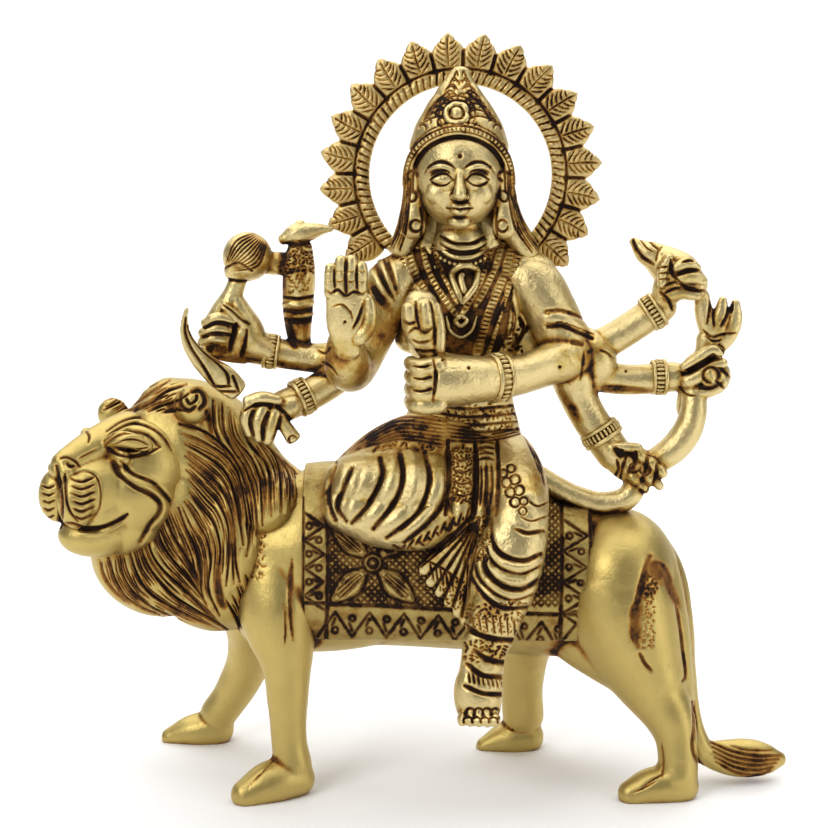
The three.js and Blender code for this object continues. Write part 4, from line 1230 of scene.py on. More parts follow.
# The folds across the folded thigh, and the swags across the shin.
THIGH_FOLDS = [
    [(336, 462), (329, 482), (328, 503), (335, 520)],
    [(352, 468), (342, 490), (337, 508), (346, 521)],
    [(380, 458), (382, 476), (370, 502), (352, 523)],
    [(400, 453), (403, 476), (396, 500), (373, 529)],
    [(425, 452), (430, 478), (424, 503), (411, 520), (387, 538)],
    [(447, 451), (450, 478), (445, 500), (429, 522), (404, 543)],
]
SHIN_SWAGS = [
    [(489, 520), (492, 542), (502, 555), (524, 561), (541, 554)],
    [(486, 534), (489, 554), (500, 568), (521, 574), (540, 566)],
    [(482, 546), (487, 571), (502, 586), (522, 590), (538, 580)],
    [(473, 552), (479, 576), (493, 592), (512, 600), (535, 594)],
    [(465, 556), (472, 578), (487, 598), (506, 608), (531, 607)],
]

# The small bosses of the flower on the thigh, as (u, v, radius).
FLOWER_BOSSES = (
    (503, 473, 4), (511, 468, 4), (506, 482, 5), (515, 479, 5), (510, 492, 5), (519, 490, 5), (515, 502, 5),
    (524, 501, 4), (523, 511, 4),
)


class FIGURE_OT_goddess_legs(bpy.types.Operator):
    """Models the goddess's folded and hanging legs with the skirt's folds"""

    bl_idname = "figure.goddess_legs"
    bl_label = "Goddess's Legs"

    def execute(self, context):
        form = Blockout("goddess_legs")
        form.limb((9, 0, 86, 15), (-3, -5, 85.4, 13.4), (-13.6, -12, 81.4, 11))
        form.limb((-13.4, -14, 82.6, 10), (-2, -14.6, 82.4, 10.8), (7.4, -13, 82, 9.4))
        form.limb((-17, -16.4, 78, 7.4), (-6.5, -19.6, 75.4, 7.8), (4, -19.4, 74.6, 7), (11, -17, 75.4, 5))
        form.limb((21.5, -1, 84.6, 12), (25.6, -14, 82.6, 9.8), (27.4, -22, 79.4, 8))
        form.limb((27.4, -24, 77.6, 7.6), (25.6, -28, 67, 8), (22.6, -29.5, 57, 7.6), (19.4, -31, 46, 6),
                  flat=0.9)
        form.drawn(-27.5, (521, 524, 26), (507, 560, 35), (499, 596, 32.5), (489, 632, 25), flat=0.78,
                   cap=0.4)
        form.limb((12.4, -14, 90, 3.4), (12.6, -20, 83, 3), (11.8, -23, 74, 2.8))
        form.limb((17.6, -13, 90, 2.4), (18, -20, 83, 2.2), (17, -23, 74, 2))
        form.limb((18.4, -31.6, 47, 5.6), (17.4, -32.6, 38, 5.8), (16.6, -33.8, 33, 6.4),
                  (16.8, -35.4, 27.6, 5.6), flat=0.8, cap=0.5)
        for k in range(5):
            form.ball((12.4 + 2.15 * k, -39.2 + 0.3 * abs(k - 3), 27.2), (1.35, 2.4, 1.9))
        for u, v in ((424, 570), (431, 582), (440, 592), (449, 602), (458, 612), (466, 621)):
            form.drawn(-22.4, (478, 520, 5), ((u + 478) / 2, (v + 520) / 2, 6.4), (u, v, 6), flat=0.55)
        legs = form.melt(fineness(0.85), rounds=6)
        legs.refine((320, 404), (556, 735))
        self.carve(legs)
        legs.cut().finish("brass_polished", goddess_brass(), "goddess")
        return {"FINISHED"}

    def carve(self, legs):
        deep = tool(2.4, -1.1, 0.6, 0.3)
        fine = tool(1.2, -0.4, 0.5)
        legs.shade_and_stain(LEG_SHADE_AND_STAINS)
        for k in range(5):
            legs.stroke([(448, 424 + 4 * k), (474, 428 + 3.4 * k), (500, 426 + 3 * k), (526, 420 + 3 * k)],
                        **tool(1.3, -0.45, 0.7))
        legs.strokes(THIGH_FOLDS, **deep)
        for first, second in zip(THIGH_FOLDS[1:], THIGH_FOLDS[2:]):
            legs.strokes(between(first, second, 1), **tool(6.5, 0.9, 0, 0.4))
        # The hem under the folds, and the streaks from the belt to the knee.
        for k in range(9):
            legs.stroke([(470 - 8 * k, 508 + 4.5 * k), (466 - 8.4 * k, 522 + 4 * k)], **tool(1.3, -0.45))
            legs.stroke([(400 + 9 * k, 552 - 5 * k), (408 + 8 * k, 556 - 5 * k)], **tool(1.3, -0.4, 0.7))
        legs.stroke([(394, 547), (419, 561), (447, 541), (472, 517)], **deep)
        for k in range(7):
            legs.stroke([(334 + 5 * k, 462 - 2.4 * k), (360 + 4 * k, 438 + 0.6 * k),
                         (398 + k, 417 + 3.6 * k), (446, 421 + 4 * k)], **tool(1.5, -0.45, 0.75, 0.6))
        legs.stipple((345, 425), (440, 452), 6, lift=-0.2, shade=0.45, seed=15)
        # Waist sash, thigh flower and knee.
        legs.stipple((450, 446), (474, 506), 3.6, lift=-0.35, shade=0.65, seed=6)
        for v in (456, 468, 480, 492):
            legs.stroke([(450, v), (462, v + 4), (473, v + 1)], **fine)
        for k in range(4):
            v = 442 + 5.5 * k
            legs.stroke([(478, v + 1), (486, v - 1), (495, v + 1)], **tool(1.3, -0.4))
        legs.strokes([[(u, 464), (u + 0.5, 484), (u - 1, 506)] for u in (481, 486, 491)], **fine)
        for u in (448, 475.5, 497):
            legs.stroke([(u, 440), (u + 1, 480), (u - 2, 514)], **tool(1.9, -0.9, 1.0, 0.2))
        for u, v, size in FLOWER_BOSSES:
            legs.ring((u, v), size, **tool(1.3, -0.3, 0.3, 0))
        legs.strokes([[(522, 430), (534, 455), (541, 475)], [(530, 440), (540, 465), (546, 490)],
                      [(527, 500), (538, 506), (549, 502)], [(519, 516), (532, 521), (547, 516)],
                      [(512, 528), (527, 533), (545, 530)]], **fine)
        legs.stroke([(516, 529), (528, 533), (544, 531)], **deep)
        # Swags across the shin.
        legs.strokes([SHIN_SWAGS[k] for k in (0, 2, 4)], **deep)
        legs.strokes([SHIN_SWAGS[k] for k in (1, 3)], **{**fine, "shade": 0.8})
        for first, second in zip(SHIN_SWAGS, SHIN_SWAGS[1:]):
            legs.strokes(between(first, second, 1), **tool(3.6, 0.75, 0, 0.3))
        # The pleated corner that hangs beside the shin.
        for u, v in ((421, 566), (427, 577), (435, 588), (444, 598), (453, 607), (462, 617)):
            legs.stroke([(480, 518), ((u + 479) / 2 + 1, (v + 518) / 2), (u, v)],
                        **tool(1.4, -0.6, 0.85, 0.15))
        legs.stipple((462, 516), (492, 560), 4, lift=-0.3, shade=0.5, seed=16)
        legs.strokes([[(430 + 5 * k, 563 + 2 * k), (434 + 5 * k, 581 + 3 * k)] for k in range(5)], **fine)
        legs.stroke([(426, 560), (445, 570), (462, 582)], **fine)
        legs.stipple((440, 580), (468, 612), 4.4, lift=-0.25, shade=0.45, seed=17)
        # Trouser end, anklets and toes.
        legs.stipple((464, 604), (528, 636), 4.2, lift=-0.25, shade=0.4, seed=7)
        for k in range(8):
            legs.stroke([(470 + 7.4 * k, 612 + k), (474 + 7 * k, 632 + k)], **fine)
        legs.stroke([(465, 625), (478, 634), (500, 640), (528, 640)], **deep)
        legs.stipple((464, 640), (512, 664), 4.4, lift=-0.3, shade=0.6, seed=18)
        legs.strokes([[(474, 650), (488, 660), (510, 663)], [(466, 664), (484, 676), (510, 677)],
                      [(465, 686), (484, 694), (511, 694)]], **deep)
        for k in range(9):
            legs.stroke([(468 + 4.8 * k, 672 + 0.9 * k), (470 + 4.8 * k, 684 + 0.7 * k)], **fine)
        for row in range(2):
            for k in range(5):
                legs.ring((470 + 8.6 * k - 2 * row, 713 + 8 * row), 4.4, turn=(160, 380),
                          **tool(1.2, -0.5, 0.85, 0))
        back = [[(u, 440), (u + 3, 475), (u + 8, 500)] for u in range(350, 560, 16)]
        legs.comb(back, 1, {**fine, "side": -1}, side=-1, **tool(2.2, -0.8, 0.9))


# Goddess's head, on plain proportions: the eyes at half height, the nose and the mouth below.

FACE = (11.7, -3.5, 163.0)
FACE_HALF = 11.0


def on_face(across, out, up, *radius):
    """A place on the goddess's head, in half heads from its middle; a radius is in millimetres."""
    return (FACE[0] + across * FACE_HALF, FACE[1] - out * FACE_HALF, FACE[2] + up * FACE_HALF, *radius)


def face_line(out, places, side=1):
    """A line of pixels over the face through (across, up), `out` half heads before its middle."""
    return [mark(*on_face(side * across, out, up)) for across, up in places]


# Lines of the face, as (across, up) on its left half, or from side to side.
UPPER_LID = ((0.16, 0.03), (0.28, 0.15), (0.42, 0.18), (0.56, 0.13), (0.7, 0.03))
LOWER_LID = ((0.17, 0.02), (0.3, -0.08), (0.43, -0.11), (0.57, -0.07), (0.68, 0.01))
BROW_LINE = ((0.1, 0.3), (0.26, 0.42), (0.46, 0.46), (0.66, 0.38), (0.82, 0.2))
NOSTRIL = ((0.12, -0.24), (0.2, -0.32), (0.19, -0.4), (0.12, -0.43))
MOUTH = ((-0.31, -0.62), (-0.14, -0.63), (0, -0.645), (0.14, -0.63), (0.31, -0.62))
CHIN_DIP = ((-0.16, -0.83), (0, -0.86), (0.16, -0.83))
UNDER_CHIN = ((-0.5, 0.5, -1.02), (0, 0.6, -1.2), (0.5, 0.5, -1.02))

# The band of the crown, the boss over it and the strands of hair, in pixels.
BAND = [(407, 192), (409, 168), (420, 148), (438, 136), (459, 131.5), (480, 136), (498, 148), (509, 168),
        (511, 192)]
BAND_MIDDLE = np.array((459.0, 185.0))
BOSS = (457, 114)
STRANDS = (
    [[(405, 168), (401, 200), (398, 228), (390, 246)], [(411, 172), (408, 205), (405, 232), (400, 250)]],
    [[(508, 172), (511, 205), (517, 230), (532, 252)], [(514, 168), (518, 205), (528, 232), (545, 255)]],
)


class FIGURE_OT_goddess_head(bpy.types.Operator):
    """Models the goddess's face, hair, earrings and pointed crown"""

    bl_idname = "figure.goddess_head"
    bl_label = "Goddess's Head"

    def execute(self, context):
        form = Blockout("goddess_head")
        self.features(form)
        self.hair(form)
        form.drawn(1.5, (459, 152, 49), (459, 137, 47.5), (459, 118, 40), (459, 100, 29), (459.5, 85, 18.5),
                   (461, 71, 9.5), flat=0.86, cap=0.5)
        form.drawn(-2.4, (407, 192, 4.6), (409, 168, 5.4, 0.6), (420, 147, 6.4, 3), (438, 134.5, 7, 5.6),
                   (459, 130, 7.4, 6.8), (480, 134.5, 7, 5.6), (498, 147, 6.4, 3), (509, 168, 5.4, 0.6),
                   (511, 192, 4.6), flat=0.96)
        head = form.melt(fineness(0.62), rounds=3)
        self.carve(head)
        for place, radius in (((459, 190), 44), ((440, 182), 24), ((478, 182), 24), ((459, 155), 26)):
            head.rub(place, radius, 0.3)
        head.cut()
        self.jewels(head)
        head.finish("brass_polished", goddess_brass(), "goddess")
        return {"FINISHED"}

    def features(self, form):
        half = FACE_HALF
        form.ball(on_face(0, -0.05, 0.12), (half * 1.01, half * 0.96, half * 1.14))
        form.ball(on_face(0, 0.06, -0.4), (half * 0.88, half * 0.84, half * 0.76))
        form.ball(on_face(0, 0.6, -0.97), (half * 0.27, half * 0.2, half * 0.18))
        form.limb(on_face(0, 0.84, 0.26, 0.9), on_face(0, 0.98, 0, 1.1), on_face(0, 1.1, -0.28, 1.7))
        for side in (-1, 1):
            form.ball(on_face(side * 0.44, 0.58, -0.3), (half * 0.34, half * 0.22, half * 0.3))
            form.ball(on_face(side * 0.13, 0.98, -0.34), (1.1, 1.2, 0.95))
            form.ball(on_face(side * 0.4, 0.72, 0.04), (2.7, 1.7, 1.35))
            form.limb(on_face(side * 0.16, 0.84, 0.24, 0.55), on_face(side * 0.42, 0.86, 0.35, 0.75),
                      on_face(side * 0.74, 0.62, 0.24, 0.55))
            form.limb(on_face(side * 0.02, 0.93, -0.57, 0.72), on_face(side * 0.13, 0.91, -0.575, 0.8),
                      on_face(side * 0.28, 0.8, -0.6, 0.4))
            form.ball(on_face(side * 1.04, -0.1, 0), (2.2, 2.6, 5.6))
            form.limb(on_face(side * 1.05, 0.0, -0.42, 1.8), on_face(side * 1.08, 0.18, -0.85, 2.9),
                      on_face(side * 1.09, 0.22, -1.15, 3.3), flat=0.7)
        form.limb(on_face(-0.15, 0.86, -0.7, 0.6), on_face(0, 0.92, -0.71, 0.95),
                  on_face(0.15, 0.86, -0.7, 0.6))

    def hair(self, form):
        form.limb((11.8, 4, 172, 11.6), (11.8, 5, 160, 11.8), (12, 5, 149, 12.6), (12, 5, 139, 15.4),
                  flat=0.55, cap=0.5)
        form.limb((22.6, 1, 162, 3.4), (24.8, 1, 152, 3.8), (29.8, 1, 143.5, 3.4))
        form.limb((0.8, 1, 162, 3.4), (-0.4, 1, 152, 3.6), (-3.2, 1, 144, 3.2))

    def carve(self, head):
        for side in (-1, 1):
            lid = face_line(0.8, UPPER_LID, side)
            head.stroke(lid, **tool(1.1, -0.45, 0.75, 0.3))
            head.stroke(face_line(0.8, LOWER_LID, side), **tool(1.0, -0.35, 0.55, 0.3))
            head.stroke([(u, v - 3.4) for u, v in lid], **tool(1.0, -0.22, 0.3))
            head.stroke(face_line(0.9, NOSTRIL, side), **tool(1.1, -0.35, 0.5))
            head.stroke(face_line(0.8, BROW_LINE, side), **tool(1.4, -0.35, 0.6, 0.4))
        head.stroke(face_line(0.9, MOUTH), **tool(1.0, -0.45, 0.85, 0.3))
        head.stroke(face_line(0.8, CHIN_DIP), **tool(1.4, -0.3, 0.25))
        head.stroke([mark(*on_face(*place)) for place in UNDER_CHIN], **tool(1.8, -0.6))
        head.dots(face_line(0.95, [(0, 0.6)]), radius=2.6, lift=-0.5, shade=1.0)
        deep = tool(1.5, -0.6, 1.0, 0.3)
        fine = tool(1.05, -0.35, 0.7, 0.4)
        for grow, cut in ((0.9, deep), (1.0, fine), (1.12, deep)):
            head.stroke([BAND_MIDDLE + (place - BAND_MIDDLE) * grow for place in np.array(BAND)],
                        **{**cut, "taper": 0.05})
        for place in resample(BAND, 44):
            way = place - BAND_MIDDLE
            head.stroke([BAND_MIDDLE + way * 1.02, BAND_MIDDLE + way * 1.1], **tool(0.9, -0.35, 0.7, 0.2))
        head.ring(BOSS, 10, **deep)
        head.ring(BOSS, 4, **fine)
        for radius in (14, 18.5):
            head.ring(BOSS, radius, turn=(150, 390), **fine)
        for side in (-1, 1):
            for k in range(8):
                v = 74 + 6.4 * k
                reach = 7 + 4.8 * k
                head.stroke([(460 + side * 2, v + 3), (460 + side * reach * 0.5, v - 3),
                             (460 + side * reach, v + 5)], **fine)
                head.ring((460 + side * (4 + 4.8 * k), v + 9), 3.4, turn=(180, 400), **fine)
            for k in range(5):
                turn = math.radians(-90 + side * (18 + 33 * k))
                petal = (BOSS[0] + 17 * math.cos(turn), BOSS[1] + 17 * math.sin(turn))
                head.ring(petal, 4.4, turn=(0, 330), **fine)
            head.stroke([(457 + side * 10, 92), (457 + side * 24, 104), (457 + side * 34, 120)], **deep)
            head.ring((458 + side * 46, 176), 5, turn=(90, 360), **deep)
            head.ring((458 + side * 46, 196), 5, turn=(-90, 200), **deep)
            head.ring((459 + side * 43, 226), 6, turn=(0, 320), **deep)
            head.stroke([(459 + side * 38, 208), (459 + side * 36, 222), (459 + side * 38, 238)], **deep)
        for strands in STRANDS:
            head.comb(strands, 2, fine, **deep)
        back = [[(u, 90 + abs(u - 458) * 1.2), (u + (u - 458) * 0.2, 170), (u + (u - 458) * 0.4, 255)]
                for u in range(415, 505, 11)]
        head.comb(back, 1, {**fine, "side": -1}, side=-1, **deep)

    def jewels(self, head):
        rim = [(BOSS[0] + 9 * math.cos(a), BOSS[1] + 9 * math.sin(a))
               for a in np.linspace(0, 2 * math.pi, 14)]
        head.cord(rim, 0.8, proud=0.5, count=15)
        head.beads([(BOSS[0], BOSS[1] - 1), (BOSS[0], BOSS[1] + 1)], 1.5, pitch=9)


# Arms. The hands, and what they hold, are read off the front view: knots are (u, v, radius) in its pixels,
# with a fourth number where the knot lies nearer to the viewer, in millimetres.


def bangle(centre, way, radius, width):
    """A bracelet across an arm: two rims and a row of ribs between them."""
    turn = Vector(way).to_track_quat("Z", "Y").to_matrix().to_4x4()
    made = []
    for end, thick in ((-1, 0.13), (1, 0.17)):
        deselect()
        bpy.ops.mesh.primitive_torus_add(major_segments=40, minor_segments=10, major_radius=radius * MM,
                                         minor_radius=width * thick * MM)
        rim = bpy.context.active_object
        rim.data.transform(Matrix.Translation(at(*centre)) @ turn
                           @ Matrix.Translation((0, 0, end * width * 0.4 * MM)))
        made.append(rim)
    count = int(2 * math.pi * radius / (width * 0.3))
    for k in range(count):
        deselect()
        bpy.ops.mesh.primitive_ico_sphere_add(subdivisions=2, radius=MM)
        rib = bpy.context.active_object
        size = Matrix.Diagonal((width * 0.17, width * 0.13, width * 0.34, 1.0))
        spin = Matrix.Rotation(2 * math.pi * k / count, 4, "Z") @ Matrix.Translation((radius * MM, 0, 0))
        rib.data.transform(Matrix.Translation(at(*centre)) @ turn @ spin @ size)
        made.append(rib)
    return made


def banded(form, knots, after, share, width=3.8, proud=0.25, **shape):
    """A limb with a bracelet on the stretch from knot `after`; gives the bracelet's parts."""
    form.limb(*knots, **shape)
    first, second = (np.array(knots[after + k], float) for k in (0, 1))
    middle = first + (second - first) * share
    return bangle(middle[:3], second[:3] - first[:3], middle[3] + proud, width)


DEEP = tool(1.5, -0.6, 0.85, 0.3)
FINE = tool(1.1, -0.35, 0.65, 0.4)
BLADE_CUT = tool(1.4, -0.6, 1.0, 0.15)

# The creases of the open palm.
PALM_LINES = (
    (tool(1.5, -0.4, 0.6, 0.4), (325, 289), (331, 293), (338, 290), (346, 296), (354, 292), (362, 294),
     (367, 291)),
    (tool(1.7, -0.5, 0.55), (364, 302), (361, 312), (357, 322), (352, 330)),
    (tool(1.5, -0.4, 0.5), (331, 307), (342, 305), (350, 312), (353, 320)),
)

# The shawl's folds over the shoulder.
SHOULDER_FOLDS = (
    (tool(2.6, -0.8, 0.8, 0.4), (381, 251), (386, 262), (392, 276), (397, 293)),
    (tool(2.6, -0.8, 0.8, 0.4), (374, 261), (381, 276), (388, 290), (394, 300)),
    (tool(5, -0.9, 0.9, 0.4), (372, 285), (380, 297), (389, 309)),
    (tool(4, 0.5, 0), (377, 257), (384, 270), (391, 286)),
    (tool(4, 0.5, 0), (370, 268), (378, 284), (388, 300)),
)

# The mace's neck and the fingers round it.
MACE_LINES = (
    (tool(1.4, -0.5, 0.85, 0.2), (225, 268), (238, 263), (252, 271)),
    (tool(1.3, -0.4, 0.7, 0.2), (226, 279), (238, 281), (249, 281)),
    (DEEP, (205, 328), (217, 322.5), (234, 325)),
    (DEEP, (203, 337), (215, 333.5), (231, 335)),
    (DEEP, (222, 304), (231, 310), (240, 318), (249, 324)),
    (DEEP, (236, 324), (233, 336), (229, 352)),
    (DEEP, (247, 330), (245, 344), (241, 358)),
)

# The dark under the hand and under the forearm.
MACE_SHADOWS = (
    (tool(4, -0.3), (205, 357), (230, 361), (262, 361)),
    (tool(4, -0.2), (276, 364), (300, 370), (330, 376)),
)

# The blade's edges and the fingers round the hilt.
SWORD_LINES = (
    (BLADE_CUT, (186, 318), (185, 332), (191, 348), (203, 366), (214, 386)),
    (BLADE_CUT, (188, 326), (193, 338), (204, 352), (218, 364), (227, 374), (229, 386)),
    (BLADE_CUT, (213, 386.5), (221, 387), (230, 386.5)),
    (BLADE_CUT, (215, 392.5), (225, 392), (236, 392)),
    (BLADE_CUT, (233, 376), (236, 384), (239, 392)),
    (DEEP, (243, 411), (256, 405), (272, 405)),
    (DEEP, (253, 411), (250, 422), (253, 436)),
    (DEEP, (268, 413), (263, 426), (263, 440)),
    (DEEP, (281, 417), (278, 428), (274, 441)),
    (DEEP, (276, 406), (285, 413), (294, 426)),
)

# Painted shade down the shaft's sides, and the shaft's lower end.
AXE_LINES = (
    (tool(4, -0.3, 0.9, 0.2), (285, 322), (290, 336), (296, 346)),
    (tool(2.4, -0.5, 0.9), (297, 342), (306, 345), (314, 340)),
    (tool(3.2, -0.2, 0.8, 0.1), (283, 250), (282, 275), (284, 296)),
    (FINE, (318, 350), (325, 353), (331, 347)),
    (FINE, (323, 362), (330, 366), (337, 375)),
)

# Where painted shade and patina are thick about the elbows, the palm and what the hands hold.
RIGHT_SHADE_AND_STAINS = (
    (390, 332, 24, 0.75), (334, 356, 24, 0.45), (300, 262, 24, 0.4), (302, 318, 26, 0.5), (268, 258, 16, 0.5),
    (366, 366, 26, 0.3), (275, 420, 26, 0.2), (238, 345, 22, 0.3), (385, 255, 24, 0.3),
)


class FIGURE_OT_right_arms(bpy.types.Operator):
    """Models the four right arms with the lifted palm, mace, sword and axe"""

    bl_idname = "figure.right_arms"
    bl_label = "Right Arms"

    def execute(self, context):
        form = Blockout("right_arms")
        form.limb((-2.4, 2.6, 137.4, 6.2), (-5.8, 1.4, 134, 7.2), (-9.2, 0, 127, 6.9),
                  (-13.4, -3, 119.4, 6.9), (-15.8, -8, 115, 6.6), (-16.8, -13.4, 114.6, 6.3),
                  (-17.4, -18, 117.6, 5.8), (-17.6, -19.8, 121.6, 5))
        bands = [
            *banded(form, [(-18, 0, 114.4, 4.6), (-27.8, 1, 114.6, 3.9), (-43, 0.5, 117.2, 4)], 1, 0.68),
            *banded(form, [(-18, 0, 112.6, 5), (-24.2, -3.5, 107.6, 4.4), (-36, -8.5, 102.6, 4.2)], 1, 0.45),
        ]
        self.palm(form)
        self.mace(form)
        self.sword(form)
        self.axe(form)
        arms = form.melt(fineness(0.72), rounds=2)
        arms.refine((176, 226), (384, 450))
        self.carve_palm(arms)
        self.carve_mace(arms)
        self.carve_sword(arms)
        self.carve_axe(arms)
        arms.cut()
        arms.extras += bands
        arms.finish("brass_polished", goddess_brass(), "goddess", grime=0.04)
        return {"FINISHED"}

    def palm(self, form):
        form.drawn(-23.6, (348, 346, 15), (348, 328, 21), (349, 306, 23), (347, 286, 21), flat=0.55)
        form.drawn(-24.3, (346, 300, 20), (345.5, 278, 18.5), flat=0.5)
        for u, top, wide in ((330.5, 268, 6.4), (341, 260.5, 6.9), (351.5, 260, 6.9), (361.5, 266, 6.4)):
            form.drawn(-24.9, (u, 294, wide), (u, 276, wide), (u, top, wide * 0.9), cap=0.9)
        form.drawn(-24.8, (360, 338, 8), (368, 327, 8), (370.5, 313, 7), (369.5, 299, 5.8))

    def carve_palm(self, arms):
        for u, start, stop, strength in ((334.5, 268, 289, 1.0), (346, 259, 296, 1.5), (357, 266, 290, 1.0)):
            arms.stroke([(u, start), (u - 0.5, (start + stop) / 2), (u + 0.5, stop)],
                        **tool(1.1 * strength, -0.3 * strength, 0.75))
        for u in (329, 340, 351, 362):
            for v in (270, 280):
                arms.stroke([(u - 4, v + 1), (u, v + 2), (u + 4, v)], **tool(1.1, -0.12, 0.2))
        arms.engrave(PALM_LINES)
        arms.dots([(350, 312), (345, 322)], radius=1.8, lift=-0.4, shade=0.6)
        arms.rub((345, 315), 22, 0.15)
        arms.engrave(SHOULDER_FOLDS)
        arms.shade_and_stain(RIGHT_SHADE_AND_STAINS)

    def mace(self, form):
        form.ball(aim(247.5, 256.5, 0), (6.55, 6.4, 6.5))
        form.drawn(0, (238, 270, 14), (237, 277, 12.4), cap=0.3)
        form.drawn(0, (238, 280, 8.8), (232, 297, 11), (226, 315, 17), (224, 334, 21), (232, 345, 17))
        form.drawn(-1, (237, 302, 9), (245, 325, 16), (252, 341, 17), (266, 350, 13.4))
        form.drawn(-4.6, (206, 323, 5.4), (218, 318, 6, 0.7), (232, 321, 5.2))
        form.drawn(-4.6, (203, 333, 5.2), (215, 329, 6, 0.7), (229, 331, 5))
        form.drawn(-4.4, (202, 342, 4.6), (214, 339, 5.4, 0.7), (226, 340, 4.6))
        form.drawn(-4.2, (224, 306, 4), (235, 315, 4.8, 0.5), (243, 324, 4.4, 0.3))
        form.drawn(-4.2, (243, 328, 4.6), (239, 341, 5), (236, 353, 4.4))
        form.drawn(-0.5, (206, 350, 6), (222, 354, 7), (244, 357, 7))
        form.limb((-39, 1.5, 140, 3), (-33.5, 2.5, 139.6, 3))

    def carve_mace(self, arms):
        for k in range(10):
            reach = -15 + 3.7 * k
            arms.stroke([(228 + 0.2 * reach, 268 + 0.2 * reach),
                         (245.5 + 0.69 * reach, 252.5 + 0.73 * reach),
                         (262 + 0.3 * reach, 236 + 0.32 * reach)], **tool(1.0, -0.32, 0.5, 0.4))
        arms.engrave(MACE_LINES)
        arms.dots([(217, 349), (223, 351), (212, 348)], radius=4.2, lift=-0.7, shade=1)
        arms.engrave(MACE_SHADOWS)

    def sword(self, form):
        form.drawn(-10, (187, 308, 2), (184.5, 322, 4), (187.5, 340, 6.6), (197, 355, 9.4), (210, 368, 12),
                   (224, 379, 14), (238, 391, 11.4), flat=0.34, cap=0.35)
        form.drawn(-10, (262, 413, 18), (276, 412, 15), (292, 406, 12))
        form.drawn(-13.6, (250, 406, 6.4), (246, 418, 7, 0.4), (250, 432, 6.4))
        form.drawn(-13.6, (263, 409, 6.6), (258, 423, 7.2, 0.6), (259, 437, 6.4))
        form.drawn(-13.6, (275, 413, 6.4), (271, 428, 7, 0.6), (268, 440, 6))
        form.drawn(-13.4, (248, 401, 5.8), (262, 397.5, 6.4), (278, 400, 5.4))
        form.drawn(-12.6, (277, 416, 6.8), (287, 429, 7), (294, 439, 7.8), cap=0.4)

    def carve_sword(self, arms):
        arms.engrave(SWORD_LINES)
        arms.ring((293, 440), 4.5, **FINE)
        arms.stroke([(240, 398), (236, 405), (240, 414)], **tool(3, -0.4))

    def axe(self, form):
        form.drawn(3.5, (302, 350, 10), (299, 335, 12), (298, 316, 14.5), (298, 300, 15.6), (299, 280, 16.5),
                   (299, 262, 15.6), (300, 250, 13))
        for u, v, wide in ((292, 262, 4.6), (300, 256, 4.8), (307, 262, 4.6), (299, 268, 4.2)):
            form.drawn(-0.6, (u, v - 3, wide), (u, v + 3, wide))
        form.drawn(3, (284, 239, 6), (295, 234, 10), (308, 232, 9.4), (321, 229.5, 6), (331, 229, 3),
                   flat=0.95)
        form.drawn(3, (300, 232, 9), (300, 225, 5.4))

    def carve_axe(self, arms):
        arms.stroke([(279, 243), (297, 245), (315, 241), (324, 236)], **tool(2.2, -0.5, 0.9))
        for v, wide in ((297, 1.5), (310, 2.2), (319, 2.4)):
            arms.stroke([(282, v), (298, v + 2), (315, v - 1)], **tool(wide, -0.8, 1.0, 0.1))
        for v in (303, 314.5):
            arms.stroke([(282, v), (298, v + 2), (315, v - 1)], **tool(2.4, 0.5, 0, 0.1))
        arms.stipple((281, 246), (315, 276), 3.4, lift=-0.4, shade=0.8, seed=21)
        arms.stipple((284, 276), (314, 296), 4.4, lift=-0.15, shade=0.4, seed=22)
        arms.engrave(AXE_LINES)


# The sleeve's fold at the elbows, and painted shade under the forearms.
ELBOW_LINES = (
    (tool(5.4, 0.6, 0, 0.1), (546, 319), (560, 318), (576, 323), (592, 331)),
    (tool(1.7, -0.9, 1.0, 0.1), (548, 327), (562, 326), (576, 331), (592, 338)),
    (tool(1.4, -0.5, 0.7, 0.1), (546, 311), (561, 310), (577, 315), (592, 322)),
    (tool(2.2, -0.5, 0.9, 0), (573, 342), (582, 344)),
    (FINE, (600, 350), (608, 353), (613, 358)),
    (FINE, (584, 352), (583, 366), (580, 380)),
    (tool(3, -0.3, 0.9), (597, 388), (625, 389), (655, 392)),
    (tool(4, -0.2, 0.6), (556, 386), (570, 405), (583, 425)),
)

# The fingers, and the bud's petals.
BUD_LINES = (
    (tool(1.6, -0.5, 0.7), (433, 357), (436, 375), (433, 402)),
    (FINE, (416, 302), (417, 318), (421, 334)),
    (FINE, (431, 302), (434, 320), (435, 344)),
    (FINE, (402, 320), (409, 324), (415, 322)),
    (FINE, (408, 333), (416, 328), (425, 333), (433, 328)),
    (FINE, (412, 340), (420, 343), (430, 341)),
    (DEEP, (415, 350), (424, 352), (434, 351)),
)

# The conch's turns and the fingers round it.
CONCH_LINES = (
    (tool(2.0, -0.8, 0.95, 0.2), (633, 239), (635, 247), (642, 257), (652, 264)),
    (FINE, (640, 238), (646, 247), (655, 253)),
    (DEEP, (648, 238), (654, 245), (660, 250)),
    (FINE, (663, 246), (658, 252), (656, 262)),
    (DEEP, (671, 260), (672, 273), (682, 285), (694, 290), (706, 291)),
    (DEEP, (676, 275), (687, 271), (699, 270)),
    (DEEP, (683, 262), (690, 260), (694, 261)),
    (FINE, (662, 288), (671, 283), (680, 282)),
    (FINE, (664, 293), (673, 289), (682, 287)),
)

# The prongs, and the back of the hand.
TRIDENT_LINES = (
    (DEEP, (711, 299), (710, 310), (707, 323)),
    (DEEP, (729, 306), (727, 316), (721, 326)),
    (DEEP, (731, 297), (732, 305), (731, 312)),
    (FINE, (714, 306), (713, 316), (714, 326)),
    (FINE, (703, 330), (712, 337), (724, 334), (736, 333)),
    (FINE, (706, 336), (713, 341), (722, 340)),
    (tool(2.2, -0.9, 0.9, 0.2), (684, 373), (697, 367), (706, 362), (713, 356)),
)

